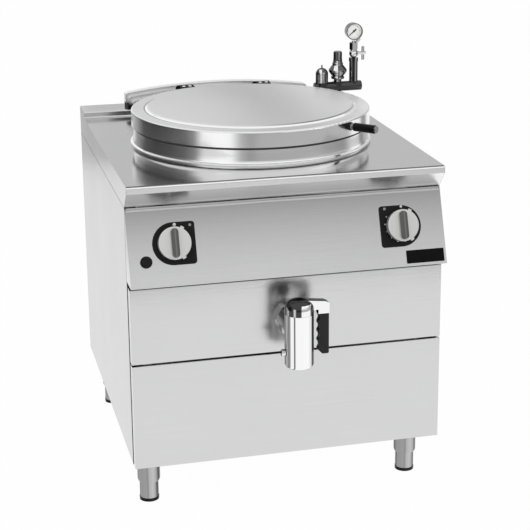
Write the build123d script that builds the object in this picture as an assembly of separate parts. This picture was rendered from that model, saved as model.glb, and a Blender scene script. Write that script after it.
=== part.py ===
from build123d import *
import os
from math import cos, hypot, radians, sin, sqrt

# Gas-heated indirect boiling pan on a free-standing cabinet.
# Millimetres, +Z up, the floor is z = 0 and the front faces -Y. The origin is on the floor, in the middle
# of the outer box, which runs from the front of the draw-off tap to the back of the cabinet.

# Cabinet
cabinet_width = 800.0
cabinet_depth = 900.0
worktop_height = 870.0
leg_height = 140.0
panel_sheet = 1.5
worktop_sheet = 2.0
seam_gap = 1.0

# Worktop
nose_band = 18.0
nose_undercut = 38.0
nose_radius = 6.0
worktop_skirt = 60.0
upstand_depth = 94.0
upstand_height = 18.0
upstand_radius = 4.0

# Side and rear panels
panel_flange = 25.0
gas_hole_radius = 30.0
vent_width = 90.0
vent_height = 6.0
vent_pitch = 18.0
vent_count = 6
vent_offset_x = 180.0
vent_drop = 310.0

# Chassis of welded square tube
chassis_tube = 30.0
chassis_beam_height = 40.0
chassis_cross_offset = 190.0
panel_tab_offset = 200.0
panel_tab_width = 40.0
panel_tab_thickness = 3.0

# Folded front panels
front_recess = 6.5
front_return = 27.0
lower_panel_drop = 91.0
console_panel_gap = 14.0

# Control console
console_drop = 245.0
console_overhang = 30.5
console_top_drop = 65.0
console_top_recess = 36.0

# Kettle
kettle_side_room = 100.0
kettle_front_room = 116.0
kettle_rear_room = 184.0
kettle_wall = 2.0
kettle_floor_drop = 23.0
kettle_corner = 40.0
kettle_rim_rise = 46.0
neck_swell = 15.0
bead_radius = 4.0
kettle_seat = 13.0

# Steam jacket, heating skirt and insulation
jacket_gap = 45.0
jacket_wall = 2.5
jacket_top_drop = 110.0
jacket_floor_gap = 42.0
jacket_corner = 30.0
skirt_rise = 18.0
insulation_thickness = 24.0
insulation_bottom_gap = 15.0
insulation_top_gap = 12.0
insulation_cut_gap = 3.0

# Burner
burner_radius = 180.0
burner_half_width = 16.0
burner_half_height = 14.0
burner_bevel = 6.0
burner_rise = 130.0
burner_ports = 24
burner_port_radius = 2.0
mixer_tube_radius = 12.0
mixer_tube_end = 290.0
burner_leg_radius = 6.0

# Flue
flue_width = 260.0
flue_depth = 50.0
flue_setback = 25.0
flue_inlet_height = 70.0
flue_inlet_rise = 15.0

# Stepped flue hood on its end blocks
hood_width = 544.0
hood_end_height = 39.0
hood_arch = 21.0
hood_corner = 8.0
hood_setback = 2.0
hood_step_depth = 20.0
hood_back_depth = 30.0
hood_step_drop = 8.0
hood_step_inset = 7.5
hood_block_length = 24.0
hood_block_height = 12.0

# Lid
lid_overlap = 3.0
lid_sheet = 1.5
lid_bottom_rise = 51.0
lid_rim_rise = 92.0
lid_rim_radius = 5.0
lid_step_inset = 38.0
lid_step_width = 8.0
lid_step_height = 6.0
lid_dome_height = 8.0
liner_sheet = 1.2
drip_ring_gap = 9.0
drip_ring_height = 5.0
seal_inset = 4.0
seal_width = 10.0
seal_gap = 0.3

# Lid handle
handle_angle = -47.5
handle_rise = 72.0
handle_length = 70.0
handle_radius = 11.0
handle_rod_radius = 5.0
handle_cap_radius = 9.0
handle_cap_length = 4.0
handle_collar_length = 4.0

# Lid hinge
hinge_offset = 112.0
hinge_reach = 27.0
hinge_rise = 78.0
hinge_block_width = 36.0
hinge_block_bottom_rise = 54.0
hinge_block_top_rise = 90.0
hinge_barrel_radius = 12.0
hinge_pin_radius = 6.0
hinge_pin_head = 3.0
hinge_cheek = 5.0
hinge_side_gap = 0.6
hinge_foot_length = 30.0
hinge_foot_thickness = 4.0
hinge_screw_radius = 5.0
hinge_screw_height = 3.0
hinge_screw_offset = 9.0
running_fit = 0.05

# Draw-off tap
tap_drop = 365.0
tap_axis_reach = 86.0
spout_radius = 36.0
spout_bore = 24.0
spout_drop = 95.0
spout_edge = 11.0
tap_top_rise = 44.0
plug_radius = 28.0
plug_drop = 32.0
plug_port_radius = 19.0
cap_gap = 0.4
cap_radius = 36.0
cap_height = 35.0
cap_dome = 24.0
arm_reach = 74.0
arm_width = 22.0
arm_height = 20.0
arm_rise = 52.0
grip_rise = 41.0
grip_inner = 46.0
grip_length = 106.0
grip_width = 20.0
grip_bevel = 12.0
groove_radius = 13.5
groove_depth = 3.5
groove_count = 4
drain_tube_radius = 27.0
drain_bore = 24.0
drain_inset = 5.0
tap_flange_flats = 74.0
tap_flange_thickness = 16.0
tap_neck_radius = 31.0
tap_screw_drop = 55.0
tap_screw_radius = 9.0
tap_screw_length = 9.0
tap_screw_shank = 4.0

# Knobs, bezels and igniter on the console
knob_inset = 112.0
knob_slope_height = 103.0
knob_radius = 40.0
knob_depth = 17.0
knob_gap = 5.0
knob_edge = 2.0
knob_blade_width = 19.0
knob_blade_length = 72.0
knob_blade_depth = 12.0
knob_lug_angle = 61.0
knob_lug_width = 9.0
knob_lug_reach = 4.0
knob_socket_depth = 16.0
bezel_radius = 52.0
bezel_flat = 54.0
bezel_corner = 8.0
bezel_thickness = 2.0
spindle_radius = 4.0
spindle_hole_radius = 7.0
spindle_length = 34.0
igniter_inset = 42.0
igniter_slope_height = 63.0
igniter_ring_radius = 14.5
igniter_ring_height = 4.0
igniter_floor = 1.5
igniter_button_radius = 11.0
igniter_button_rise = 10.0
igniter_travel = 5.0
igniter_body_radius = 9.0
igniter_body_length = 48.0
igniter_clearance = 0.3

# Gas valve, energy regulator and pipework
valve_width = 56.0
valve_height = 46.0
valve_length = 78.0
regulator_width = 52.0
regulator_length = 44.0
gas_pipe_radius = 7.0
gas_inlet_radius = 10.5
gas_inlet_length = 25.0
gas_inlet_rise = 90.0
gas_run_inset = 65.0
gas_run_setback = 100.0
gas_bend_radius = 28.0
injector_radius = 9.0
injector_gap = 6.0

# Safety group on the riser
riser_inset = 85.0
riser_setback = 664.5
riser_radius = 10.5
riser_start_drop = 30.0
manifold_rise = 82.0
manifold_radius = 14.0
manifold_half_length = 70.0
branch_offset = 47.0
riser_nut_flats = 34.0
riser_nut_height = 14.0
vacuum_radius = 18.0
vacuum_barrel = 24.0
vacuum_pin_radius = 2.0
vacuum_pin_rise = 8.0
vacuum_travel = 4.0
safety_base_radius = 15.0
safety_body_radius = 29.0
safety_cap_radius = 14.0
safety_widest_rise = 118.0
safety_neck_rise = 148.0
safety_cap_rise = 184.0
safety_stem_radius = 4.0
safety_travel = 3.0
column_radius = 12.3
column_top_rise = 153.0
column_collar_radius = 13.5
column_collar_height = 10.0
cock_neck_radius = 9.5
cock_rise = 175.0
cock_ball_radius = 12.5
cock_stem_radius = 5.0
cock_stem_reach = 28.0
cock_tee_length = 40.0
cock_tee_radius = 4.0
cock_nut_flats = 21.0
cock_nut_bottom_rise = 187.0
cock_nut_top_rise = 207.0
test_stub_radius = 4.0
test_stub_length = 22.0
test_stub_angle = 47.0
gauge_rise = 239.0
gauge_radius = 28.0
gauge_depth = 24.0
gauge_wall = 2.0
gauge_bezel = 3.0
gauge_glass_thickness = 1.5
dial_thickness = 1.0
pointer_length = 21.0
pointer_tail = 9.0
pointer_width = 2.2
pointer_thickness = 0.8
pointer_angle = 221.0
pointer_pin_radius = 1.5

# Feet
foot_inset_side = 51.0
foot_inset_front = 125.0
foot_inset_rear = 107.0
foot_sleeve_radius = 27.5
foot_sleeve_bottom = 79.0
foot_sleeve_chamfer = 5.0
foot_plate = 84.0
foot_plate_thickness = 4.0
foot_tube_radius = 24.5
foot_pad_radius = 25.5
foot_pad_height = 8.0
foot_tube_wall = 3.0
foot_travel = 30.0

# Places that follow from the sizes above
half_width = cabinet_width / 2
tap_reach = tap_axis_reach + spout_radius
rear_y = (cabinet_depth + tap_reach) / 2
nose_y = rear_y - cabinet_depth
skirt_z = worktop_height - worktop_skirt
upstand_y = rear_y - upstand_depth
upstand_z = worktop_height + upstand_height
side_front_y = nose_y + nose_undercut
front_y = nose_y + front_recess
panel_inside_x = half_width - panel_sheet
chassis_x = half_width - worktop_sheet
console_bottom = worktop_height - console_drop
drain_panel_top = console_bottom - console_panel_gap
tap_height = worktop_height - tap_drop
lower_panel_top = tap_height - lower_panel_drop
knob_offset = half_width - knob_inset
igniter_offset = half_width - igniter_inset
vent_bottom = worktop_height - vent_drop
kettle_radius = min(half_width - kettle_side_room, (cabinet_depth - kettle_front_room - kettle_rear_room) / 2)
kettle_y = nose_y + kettle_front_room + kettle_radius
kettle_floor = tap_height - kettle_floor_drop
neck_radius = kettle_radius + neck_swell
jacket_radius = kettle_radius + jacket_gap
jacket_top = worktop_height - jacket_top_drop
jacket_bottom = kettle_floor - jacket_floor_gap
insulation_bottom = jacket_bottom + insulation_bottom_gap
insulation_top = jacket_top - insulation_top_gap
burner_height = leg_height + burner_rise
skirt_bottom = burner_height + skirt_rise
flue_inlet_bottom = skirt_bottom + flue_inlet_rise
flue_inlet_top = flue_inlet_bottom + flue_inlet_height
lid_radius = neck_radius + lid_overlap
lid_step_outer = lid_radius - lid_step_inset
lid_step_inner = lid_step_outer - lid_step_width
drip_ring_radius = kettle_radius - drip_ring_gap
seal_outer = lid_radius - seal_inset
gas_inlet_height = leg_height + gas_inlet_rise
gas_run_x = half_width - gas_run_inset
riser_x = half_width - riser_inset
riser_height = jacket_top - riser_start_drop
drain_end_y = kettle_y - kettle_radius + kettle_corner - drain_inset
rim_z = worktop_height + kettle_rim_rise
hood_y = upstand_y + hood_setback
hood_depth = 2 * hood_step_depth + hood_back_depth
hood_z = upstand_z + hood_block_height
flue_back_y = rear_y - flue_setback
flue_front_y = flue_back_y - flue_depth
lid_z = worktop_height + lid_bottom_rise
lid_rim_z = worktop_height + lid_rim_rise
hinge_y = kettle_y + lid_radius + hinge_reach
hinge_z = worktop_height + hinge_rise
tap_y = nose_y - tap_axis_reach
tap_top_z = tap_height + tap_top_rise
spout_z = tap_height - spout_drop
riser_y = nose_y + riser_setback
manifold_z = worktop_height + manifold_rise
column_x = riser_x + branch_offset
vacuum_x = riser_x - branch_offset
cock_z = worktop_height + cock_rise
gauge_z = worktop_height + gauge_rise
gauge_front_y = riser_y - gauge_depth / 2
console_front_y = nose_y - console_overhang
console_top_z = worktop_height - console_top_drop
console_top_y = nose_y + console_top_recess
console_rise = console_top_z - console_bottom
console_run = console_top_y - console_front_y
console_slope = hypot(console_rise, console_run)
slope_up = (0, console_run / console_slope, console_rise / console_slope)
slope_out = (0, -console_rise / console_slope, console_run / console_slope)
plug_bottom_z = tap_height - plug_drop
foot_front_y = nose_y + foot_inset_front
foot_rear_y = rear_y - foot_inset_rear
foot_x = half_width - foot_inset_side
gas_run_y = nose_y + gas_run_setback


def block(x0, x1, y0, y1, z0, z1):
    """Box between two corners."""
    return Pos((x0 + x1) / 2, (y0 + y1) / 2, (z0 + z1) / 2) * Box(x1 - x0, y1 - y0, z1 - z0)


def post(x, y, z0, z1, radius):
    """Upright cylinder."""
    return Pos(x, y, (z0 + z1) / 2) * Cylinder(radius, z1 - z0)


def bar_x(x0, x1, y, z, radius):
    """Cylinder along X."""
    return Pos((x0 + x1) / 2, y, z) * Rot(0, 90, 0) * Cylinder(radius, x1 - x0)


def bar_y(x, y0, y1, z, radius):
    """Cylinder along Y."""
    return Pos(x, (y0 + y1) / 2, z) * Rot(90, 0, 0) * Cylinder(radius, y1 - y0)


def hexagon(flats, height):
    """Hexagonal prism on the XY plane, sized across its flats."""
    return extrude(RegularPolygon(flats / 2, 6, major_radius=False), height)


def rounded(face, corners):
    """Round the corners of a flat outline; each entry is a point and its radius."""
    for point, radius in corners:
        corner = Vector(*point)
        vertex = min(face.vertices(), key=lambda v: (Vector(v.X, v.Y) - corner).length)
        face = fillet(vertex, radius)
    return face


def outline(points, corners=()):
    """Flat outline through corner points."""
    return rounded(make_face(Polyline(*points, close=True)), corners)


def prism_x(face, x0, x1):
    """Outline drawn in Y and Z, extruded along X."""
    return Pos(x0, 0, 0) * extrude(Plane.YZ * face, x1 - x0)


def prism_y(face, y0, y1):
    """Outline drawn in X and Z, extruded along Y."""
    return Pos(0, y1, 0) * extrude(Plane.XZ * face, y1 - y0)


def turned(face, x=0.0, y=0.0):
    """Outline drawn in radius and Z, turned about an upright axis."""
    return Pos(x, y, 0) * revolve(Plane.XZ * face, Axis.Z, 360)


def pipe(points, bends, radius):
    """Round bar along straight runs joined by arcs."""
    path = FilletPolyline(*points, radius=bends)
    return sweep(Plane(origin=path @ 0, z_dir=path % 0) * Circle(radius), path)


def on_slope(x, height, lift=0.0):
    """Plane on the console face: x across, height up the slope, lift off the face, Z outwards."""
    origin = Vector(x, console_front_y, console_bottom) + Vector(*slope_up) * height
    return Plane(origin=origin + Vector(*slope_out) * lift, x_dir=(1, 0, 0), z_dir=slope_out)


# Cabinet


def worktop():
    points = [(side_front_y, skirt_z), (nose_y, worktop_height - nose_band), (nose_y, worktop_height),
              (upstand_y, worktop_height), (upstand_y, upstand_z), (rear_y, upstand_z), (rear_y, skirt_z)]
    corners = [(points[2], nose_radius), (points[3], upstand_radius), (points[4], upstand_radius)]
    face = outline(points, corners)
    shell = prism_x(face, -half_width, half_width)
    inside_x = half_width - worktop_sheet
    shell -= prism_x(offset(face, -worktop_sheet, kind=Kind.INTERSECTION), -inside_x, inside_x)
    shell -= block(-inside_x, inside_x, side_front_y + 2 * worktop_sheet, rear_y - worktop_sheet,
                   skirt_z - worktop_sheet, skirt_z + 2 * worktop_sheet)
    shell -= post(0, kettle_y, skirt_z, upstand_z, kettle_seat_radius())
    shell -= post(riser_x, riser_y, skirt_z, upstand_z, riser_radius + seam_gap)
    shell -= block(-flue_width / 2 - seam_gap, flue_width / 2 + seam_gap, flue_front_y - seam_gap,
                   flue_back_y + seam_gap, worktop_height, upstand_z + seam_gap)
    return shell


def kettle_seat_radius():
    """Worktop hole: the kettle's bead seats on the ring between this and its own edge."""
    return neck_radius + 2 * bead_radius - kettle_seat


def side_panel(side):
    inner = half_width - panel_flange
    top = skirt_z - seam_gap
    back = rear_y - panel_sheet
    panel = block(panel_inside_x, half_width, side_front_y, rear_y, leg_height, top)
    panel += block(inner, half_width, side_front_y, side_front_y + panel_sheet, leg_height, top)
    panel += block(inner, half_width, back, rear_y, leg_height, top)
    return panel if side > 0 else mirror(panel, Plane.YZ)


def rear_panel():
    back = rear_y - panel_sheet
    panel = block(-panel_inside_x, panel_inside_x, back - panel_sheet, back, leg_height, skirt_z - seam_gap)
    panel -= bar_y(-gas_run_x, back - 2 * panel_sheet, rear_y, gas_inlet_height, gas_hole_radius)
    slot = Rot(90, 0, 0) * extrude(SlotOverall(vent_width, vent_height), 4 * panel_sheet, both=True)
    for side in (-1, 1):
        for row in range(vent_count):
            panel -= Pos(side * vent_offset_x, back, vent_bottom + row * vent_pitch) * slot
    return panel


def chassis():
    front = side_front_y + 2 * worktop_sheet
    back = rear_y - 2 * panel_sheet
    beam_top = leg_height + chassis_beam_height
    inner_x = chassis_x - chassis_tube
    frame = block(-chassis_x, chassis_x, front, back, leg_height, beam_top)
    frame -= block(-inner_x, inner_x, front + chassis_tube, back - chassis_tube, leg_height, beam_top)
    for offset_y in (-chassis_cross_offset, chassis_cross_offset):
        middle = kettle_y + offset_y
        frame += block(-inner_x, inner_x, middle - chassis_tube / 2, middle + chassis_tube / 2,
                       leg_height, beam_top)
    tab_z = leg_height + panel_sheet
    for side in (-1, 1):
        middle = side * panel_tab_offset
        frame += block(middle - panel_tab_width / 2, middle + panel_tab_width / 2, front_y + panel_sheet,
                       front + chassis_tube / 2, tab_z, tab_z + panel_tab_thickness)
        x0 = min(side * chassis_x, side * inner_x)
        x1 = max(side * chassis_x, side * inner_x)
        frame += block(x0, x1, front, front + chassis_tube, leg_height, worktop_height - worktop_sheet)
        frame += block(x0, x1, back - chassis_tube, back, leg_height, upstand_z - worktop_sheet)
    return frame


def tray(x0, x1, z0, z1):
    """Front panel: a face folded back on its four sides."""
    back = front_y + front_return
    panel = block(x0, x1, front_y, back, z0, z1)
    return panel - block(x0 + panel_sheet, x1 - panel_sheet, front_y + panel_sheet, back,
                         z0 + panel_sheet, z1 - panel_sheet)


def lower_front_panel():
    return tray(-half_width + seam_gap, half_width - seam_gap, leg_height, lower_panel_top)


def drain_panel():
    panel = tray(-half_width + seam_gap, half_width - seam_gap, lower_panel_top + 2 * seam_gap,
                 drain_panel_top)
    return panel - bar_y(0, front_y - panel_sheet, front_y + 2 * panel_sheet, tap_height,
                         drain_tube_radius + seam_gap)


def control_console():
    back = side_front_y - seam_gap / 2
    face = outline([(console_front_y, console_bottom), (console_top_y, console_top_z),
                    (back, console_top_z), (back, console_bottom)])
    lean = panel_sheet / slope_up[2]
    inner = outline([(console_front_y + lean + panel_sheet * slope_up[1] / slope_up[2],
                      console_bottom + panel_sheet),
                     (console_top_y + lean, console_top_z),
                     (back + lean, console_top_z), (back + lean, console_bottom + panel_sheet)])
    shell = prism_x(face, -half_width, half_width)
    shell -= prism_x(inner, -half_width + panel_sheet, half_width - panel_sheet)
    for x, height, radius in ((-knob_offset, knob_slope_height, spindle_hole_radius),
                              (knob_offset, knob_slope_height, spindle_hole_radius),
                              (-igniter_offset, igniter_slope_height, igniter_body_radius)):
        shell -= on_slope(x, height) * Cylinder(radius, 6 * panel_sheet)
    return shell


def arch(inset, step):
    """Front outline of one step of the flue hood."""
    half = hood_width / 2 - inset - step * hood_step_inset
    end = upstand_z + hood_end_height - inset - step * hood_step_drop
    middle = end + hood_arch
    base = hood_z
    edges = (Line((-half, base), (-half, end)) + ThreePointArc((-half, end), (0, middle), (half, end))
             + Line((half, end), (half, base)) + Line((half, base), (-half, base)))
    face = make_face(edges)
    return rounded(face, [((-half, end), hood_corner - inset), ((half, end), hood_corner - inset)])


def hood_solid(inset):
    """Three arched steps, each lower and narrower towards the front."""
    back = hood_y + hood_depth - inset
    second = hood_y + hood_step_depth
    first = second + hood_step_depth
    return (prism_y(arch(inset, 2), hood_y + inset, back) + prism_y(arch(inset, 1), second + inset, back)
            + prism_y(arch(inset, 0), first + inset, back))


def flue_hood():
    return hood_solid(0) - hood_solid(panel_sheet)


def flue_hood_blocks():
    outer = hood_width / 2 - 2 * hood_step_inset
    right = block(outer - hood_block_length, hood_width / 2, hood_y, hood_y + hood_depth, upstand_z, hood_z)
    return [right, mirror(right, Plane.YZ)]


def flue_duct():
    half = flue_width / 2
    reach = kettle_y + sqrt(jacket_radius ** 2 - half ** 2)
    duct = block(-half, half, flue_front_y, flue_back_y, flue_inlet_bottom, upstand_z)
    duct += block(-half, half, reach, flue_front_y, flue_inlet_bottom, flue_inlet_top)
    hollow = block(-half + panel_sheet, half - panel_sheet, flue_front_y + panel_sheet,
                   flue_back_y - panel_sheet, flue_inlet_bottom + panel_sheet, upstand_z)
    hollow += block(-half + panel_sheet, half - panel_sheet, reach - flue_depth,
                    flue_back_y - panel_sheet, flue_inlet_bottom + panel_sheet, flue_inlet_top - panel_sheet)
    duct -= hollow
    return duct - post(0, kettle_y, flue_inlet_bottom, flue_inlet_top, jacket_radius)


# Kettle, jacket and heating


def kettle():
    inner = kettle_radius
    outer = inner + kettle_wall
    lower = kettle_floor - kettle_wall
    wall = outline([(0, kettle_floor), (inner, kettle_floor), (inner, rim_z), (outer, rim_z), (outer, lower),
                    (0, lower)],
                   [((inner, kettle_floor), kettle_corner), ((outer, lower), kettle_corner + kettle_wall)])
    vessel = turned(wall, 0, kettle_y)
    return vessel - bar_y(0, kettle_y - outer - jacket_wall, drain_end_y, tap_height, drain_tube_radius)


def kettle_neck():
    start = kettle_radius + kettle_wall
    inner = neck_radius - kettle_wall
    bead_edge = neck_radius + 2 * bead_radius
    bead_z = worktop_height + 2 * bead_radius
    wall = outline([(start, rim_z), (neck_radius, rim_z), (neck_radius, bead_z + 2 * bead_radius),
                    (bead_edge, bead_z), (bead_edge, worktop_height), (inner, worktop_height),
                    (inner, rim_z - kettle_wall), (start, rim_z - kettle_wall)],
                   [((neck_radius, rim_z), kettle_wall), ((bead_edge, bead_z), bead_radius)])
    return turned(wall, 0, kettle_y)


def steam_jacket():
    outer = jacket_radius
    inner = outer - jacket_wall
    neck = kettle_radius + kettle_wall
    top_inner = jacket_top - jacket_wall
    wall = outline([(neck, jacket_top), (outer, jacket_top), (outer, jacket_bottom), (0, jacket_bottom),
                    (0, jacket_bottom + jacket_wall), (inner, jacket_bottom + jacket_wall),
                    (inner, top_inner), (neck, top_inner)],
                   [((outer, jacket_top), jacket_corner), ((inner, top_inner), jacket_corner - jacket_wall)])
    skirt = outline([(inner, jacket_bottom), (outer, jacket_bottom), (outer, skirt_bottom),
                     (inner, skirt_bottom)])
    shell = turned(wall + skirt, 0, kettle_y)
    shell -= bar_y(0, kettle_y - outer - jacket_wall, kettle_y, tap_height, drain_tube_radius)
    shell -= riser_bar(riser_radius, jacket_radius - 2 * jacket_corner, jacket_radius)
    half = flue_width / 2 - panel_sheet
    return shell - block(-half, half, kettle_y, kettle_y + outer, flue_inlet_bottom + panel_sheet,
                         flue_inlet_top - panel_sheet)


def riser_bar(radius, start, end):
    """Bar from the jacket's axis towards the riser, between two distances."""
    away = Vector(riser_x, riser_y - kettle_y, 0)
    along = away / away.length
    middle = Vector(0, kettle_y, riser_height) + along * ((start + end) / 2)
    return Plane(origin=middle, z_dir=along) * Cylinder(radius, end - start)


def insulation():
    outer = jacket_radius + insulation_thickness
    ring = post(0, kettle_y, insulation_bottom, insulation_top, outer)
    ring -= post(0, kettle_y, insulation_bottom, insulation_top, jacket_radius)
    ring -= bar_y(0, kettle_y - outer, kettle_y, tap_height, drain_tube_radius)
    half = flue_width / 2 + insulation_cut_gap
    ring -= block(-half, half, kettle_y, rear_y, flue_inlet_bottom, flue_inlet_top + insulation_cut_gap)
    return ring - riser_bar(riser_radius, jacket_radius - jacket_corner, outer + jacket_corner)


def drain_pipe():
    tube = bar_y(0, front_y, drain_end_y, tap_height, drain_tube_radius)
    tube -= bar_y(0, front_y, drain_end_y, tap_height, drain_bore)
    hollow = outline([(0, kettle_floor), (kettle_radius, kettle_floor), (kettle_radius, rim_z), (0, rim_z)],
                     [((kettle_radius, kettle_floor), kettle_corner)])
    return tube - turned(hollow, 0, kettle_y)


def burner():
    inner = burner_radius - burner_half_width
    outer = burner_radius + burner_half_width
    low = burner_height - burner_half_height
    top = burner_height + burner_half_height
    ring = turned(outline([(inner, low), (outer, low), (outer, top - burner_bevel),
                           (outer - burner_bevel, top), (inner + burner_bevel, top),
                           (inner, top - burner_bevel)]), 0, kettle_y)
    mixer_start = kettle_y - burner_radius
    mixer_end = kettle_y - mixer_tube_end
    ring += bar_y(0, mixer_end, mixer_start, burner_height, mixer_tube_radius)
    ring -= bar_y(0, mixer_end, mixer_end + 2 * mixer_tube_radius, burner_height,
                  mixer_tube_radius - panel_sheet)
    beam_top = leg_height + chassis_beam_height
    reach = sqrt(burner_radius ** 2 - (chassis_cross_offset / 2) ** 2)
    for side in (-1, 1):
        for direction in (-1, 1):
            leg_y = kettle_y + direction * chassis_cross_offset
            arm_y = kettle_y + direction * chassis_cross_offset / 2
            foot = block(side * reach - burner_leg_radius, side * reach + burner_leg_radius,
                         min(leg_y, arm_y) - burner_leg_radius, max(leg_y, arm_y) + burner_leg_radius,
                         beam_top + 3 * burner_leg_radius, beam_top + 4 * burner_leg_radius)
            foot += post(side * reach, arm_y, beam_top + 4 * burner_leg_radius, burner_height,
                         burner_leg_radius)
            foot += post(side * reach, leg_y, beam_top, beam_top + 4 * burner_leg_radius, burner_leg_radius)
            ring += foot
    port = Pos(burner_radius, 0, burner_half_height) * Cylinder(burner_port_radius, burner_half_height)
    ports = [Pos(0, kettle_y, burner_height) * Rot(0, 0, (index + 0.5) * 360 / burner_ports) * port
             for index in range(burner_ports)]
    return ring - ports


def valve_plane():
    return on_slope(-knob_offset, knob_slope_height)


def gas_valve():
    body = Pos(0, 0, -panel_sheet - valve_length / 2) * Box(valve_width, valve_height, valve_length)
    body = fillet(body.edges().filter_by(Axis.Z), valve_height / 8)
    body += Pos(0, 0, -panel_sheet - valve_length) * Cylinder(valve_height / 3, valve_length / 4)
    body -= Pos(0, 0, -spindle_length / 2) * Cylinder(spindle_radius + running_fit, spindle_length)
    return valve_plane() * body


def energy_regulator():
    body = Pos(0, 0, -panel_sheet - regulator_length / 2) * Cylinder(regulator_width / 2, regulator_length)
    body += Pos(0, 0, -panel_sheet - regulator_length) * Box(
        regulator_width / 2, regulator_width / 2, regulator_length / 4)
    body -= Pos(0, 0, -spindle_length / 2) * Cylinder(spindle_radius + running_fit, spindle_length)
    return on_slope(knob_offset, knob_slope_height) * body


def gas_pipework():
    mouth = rear_y - panel_sheet
    inlet = bar_y(-gas_run_x, mouth - gas_inlet_length, mouth, gas_inlet_height, gas_inlet_radius)
    valve_side = valve_plane() * Pos(-valve_width / 2, 0, -panel_sheet - valve_length * 3 / 4)
    side_point = valve_side.position
    supply = pipe([(-gas_run_x, mouth - gas_inlet_length, gas_inlet_height),
                   (-gas_run_x, side_point.Y, gas_inlet_height),
                   (-gas_run_x, side_point.Y, side_point.Z),
                   (side_point.X, side_point.Y, side_point.Z)],
                  gas_bend_radius / 2, gas_pipe_radius)
    supply += inlet
    bottom = valve_plane() * Pos(0, 0, -panel_sheet - valve_length - valve_length / 8)
    start = bottom.position
    away = start - Vector(*slope_out) * (2 * gas_bend_radius)
    nozzle_y = kettle_y - mixer_tube_end - injector_gap
    feed = pipe([start, away, (away.X, away.Y, burner_height + 0),
                 (away.X, nozzle_y - gas_run_setback / 2, burner_height),
                 (0, nozzle_y - gas_run_setback / 2, burner_height), (0, nozzle_y, burner_height)],
                gas_bend_radius / 2, gas_pipe_radius)
    feed += bar_y(0, nozzle_y - 2 * injector_radius, nozzle_y, burner_height, injector_radius)
    return [supply, feed]


# Lid and hinge


def lid_outline(inset):
    edge = lid_radius - inset
    rim = lid_rim_z - inset
    step = rim + lid_step_height
    crown = step + lid_dome_height
    inner = lid_step_inner - inset
    outer = lid_step_outer - inset
    dome = ThreePointArc((0, crown), (inner / 2, crown - lid_dome_height / 4), (inner, step))
    edges = (dome + Line((inner, step), (outer, rim)) + Line((outer, rim), (edge, rim))
             + Line((edge, rim), (edge, lid_z)) + Line((edge, lid_z), (0, lid_z)) + Line((0, lid_z), (0, crown)))
    return rounded(make_face(edges), [((edge, rim), lid_rim_radius - inset), ((outer, rim), lid_rim_radius),
                                      ((inner, step), lid_rim_radius)])


def lid_shell():
    return turned(lid_outline(0), 0, kettle_y) - turned(lid_outline(lid_sheet), 0, kettle_y)


def lid_liner():
    plate = post(0, kettle_y, lid_z, lid_z + liner_sheet, lid_radius - lid_sheet)
    ring = post(0, kettle_y, lid_z - drip_ring_height, lid_z, drip_ring_radius)
    return plate + ring - post(0, kettle_y, lid_z - drip_ring_height, lid_z, drip_ring_radius - liner_sheet)


def lid_seal():
    face = outline([(seal_outer - seal_width, lid_z), (seal_outer, lid_z), (seal_outer, rim_z + seal_gap),
                    (seal_outer - seal_width, rim_z + seal_gap)])
    return turned(face, 0, kettle_y)


def handle_place(distance):
    """Plane on the handle's axis, Z pointing away from the lid."""
    angle = radians(handle_angle)
    along = Vector(cos(angle), sin(angle), 0)
    origin = Vector(0, kettle_y, worktop_height + handle_rise) + along * distance
    return Plane(origin=origin, z_dir=along)


def handle_bar(start, end, radius):
    return handle_place((start + end) / 2) * Cylinder(radius, end - start)


def lid_handle_rod():
    end = lid_radius + handle_length
    rod = handle_bar(lid_radius - handle_rod_radius, end, handle_rod_radius)
    rod += handle_bar(lid_radius - handle_rod_radius, lid_radius + handle_collar_length, handle_cap_radius)
    rod += handle_bar(end - handle_cap_length, end, handle_cap_radius)
    return rod - post(0, kettle_y, lid_z, lid_rim_z, lid_radius)


def lid_handle_grip():
    start = lid_radius + handle_collar_length
    end = lid_radius + handle_length - handle_cap_length
    grip = handle_bar(start, end, handle_radius)
    grip = fillet(grip.edges().filter_by(GeomType.CIRCLE), handle_radius / 6)
    return grip - handle_bar(start, end, handle_rod_radius)


def hinge_brackets():
    half = hinge_block_width / 2
    brackets = []
    low = worktop_height + hinge_block_bottom_rise
    top = worktop_height + hinge_block_top_rise
    back = hinge_y + hinge_barrel_radius
    face = outline([(kettle_y, low), (back, low), (back, top), (kettle_y, top)],
                   [((back, low), hinge_barrel_radius), ((back, top), hinge_barrel_radius)])
    for side in (-1, 1):
        x = side * hinge_offset
        bracket = prism_x(face, x - half, x + half) - post(0, kettle_y, lid_z, lid_rim_z, lid_radius)
        bracket -= bar_x(x - half, x + half, hinge_y, hinge_z, hinge_pin_radius + running_fit)
        brackets.append(bracket)
    return brackets


def hinge_screws():
    top = worktop_height + hinge_block_top_rise
    edge_y = kettle_y + sqrt(lid_radius ** 2 - (hinge_offset - hinge_block_width / 2) ** 2)
    y = (edge_y + hinge_y - hinge_barrel_radius) / 2
    screws = []
    for side in (-1, 1):
        for shift in (-hinge_screw_offset, hinge_screw_offset):
            screw = post(side * hinge_offset + shift, y, top, top + hinge_screw_height, hinge_screw_radius)
            screws.append(fillet(screw.edges().group_by(Axis.Z)[-1], hinge_screw_height / 2))
    return screws


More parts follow.
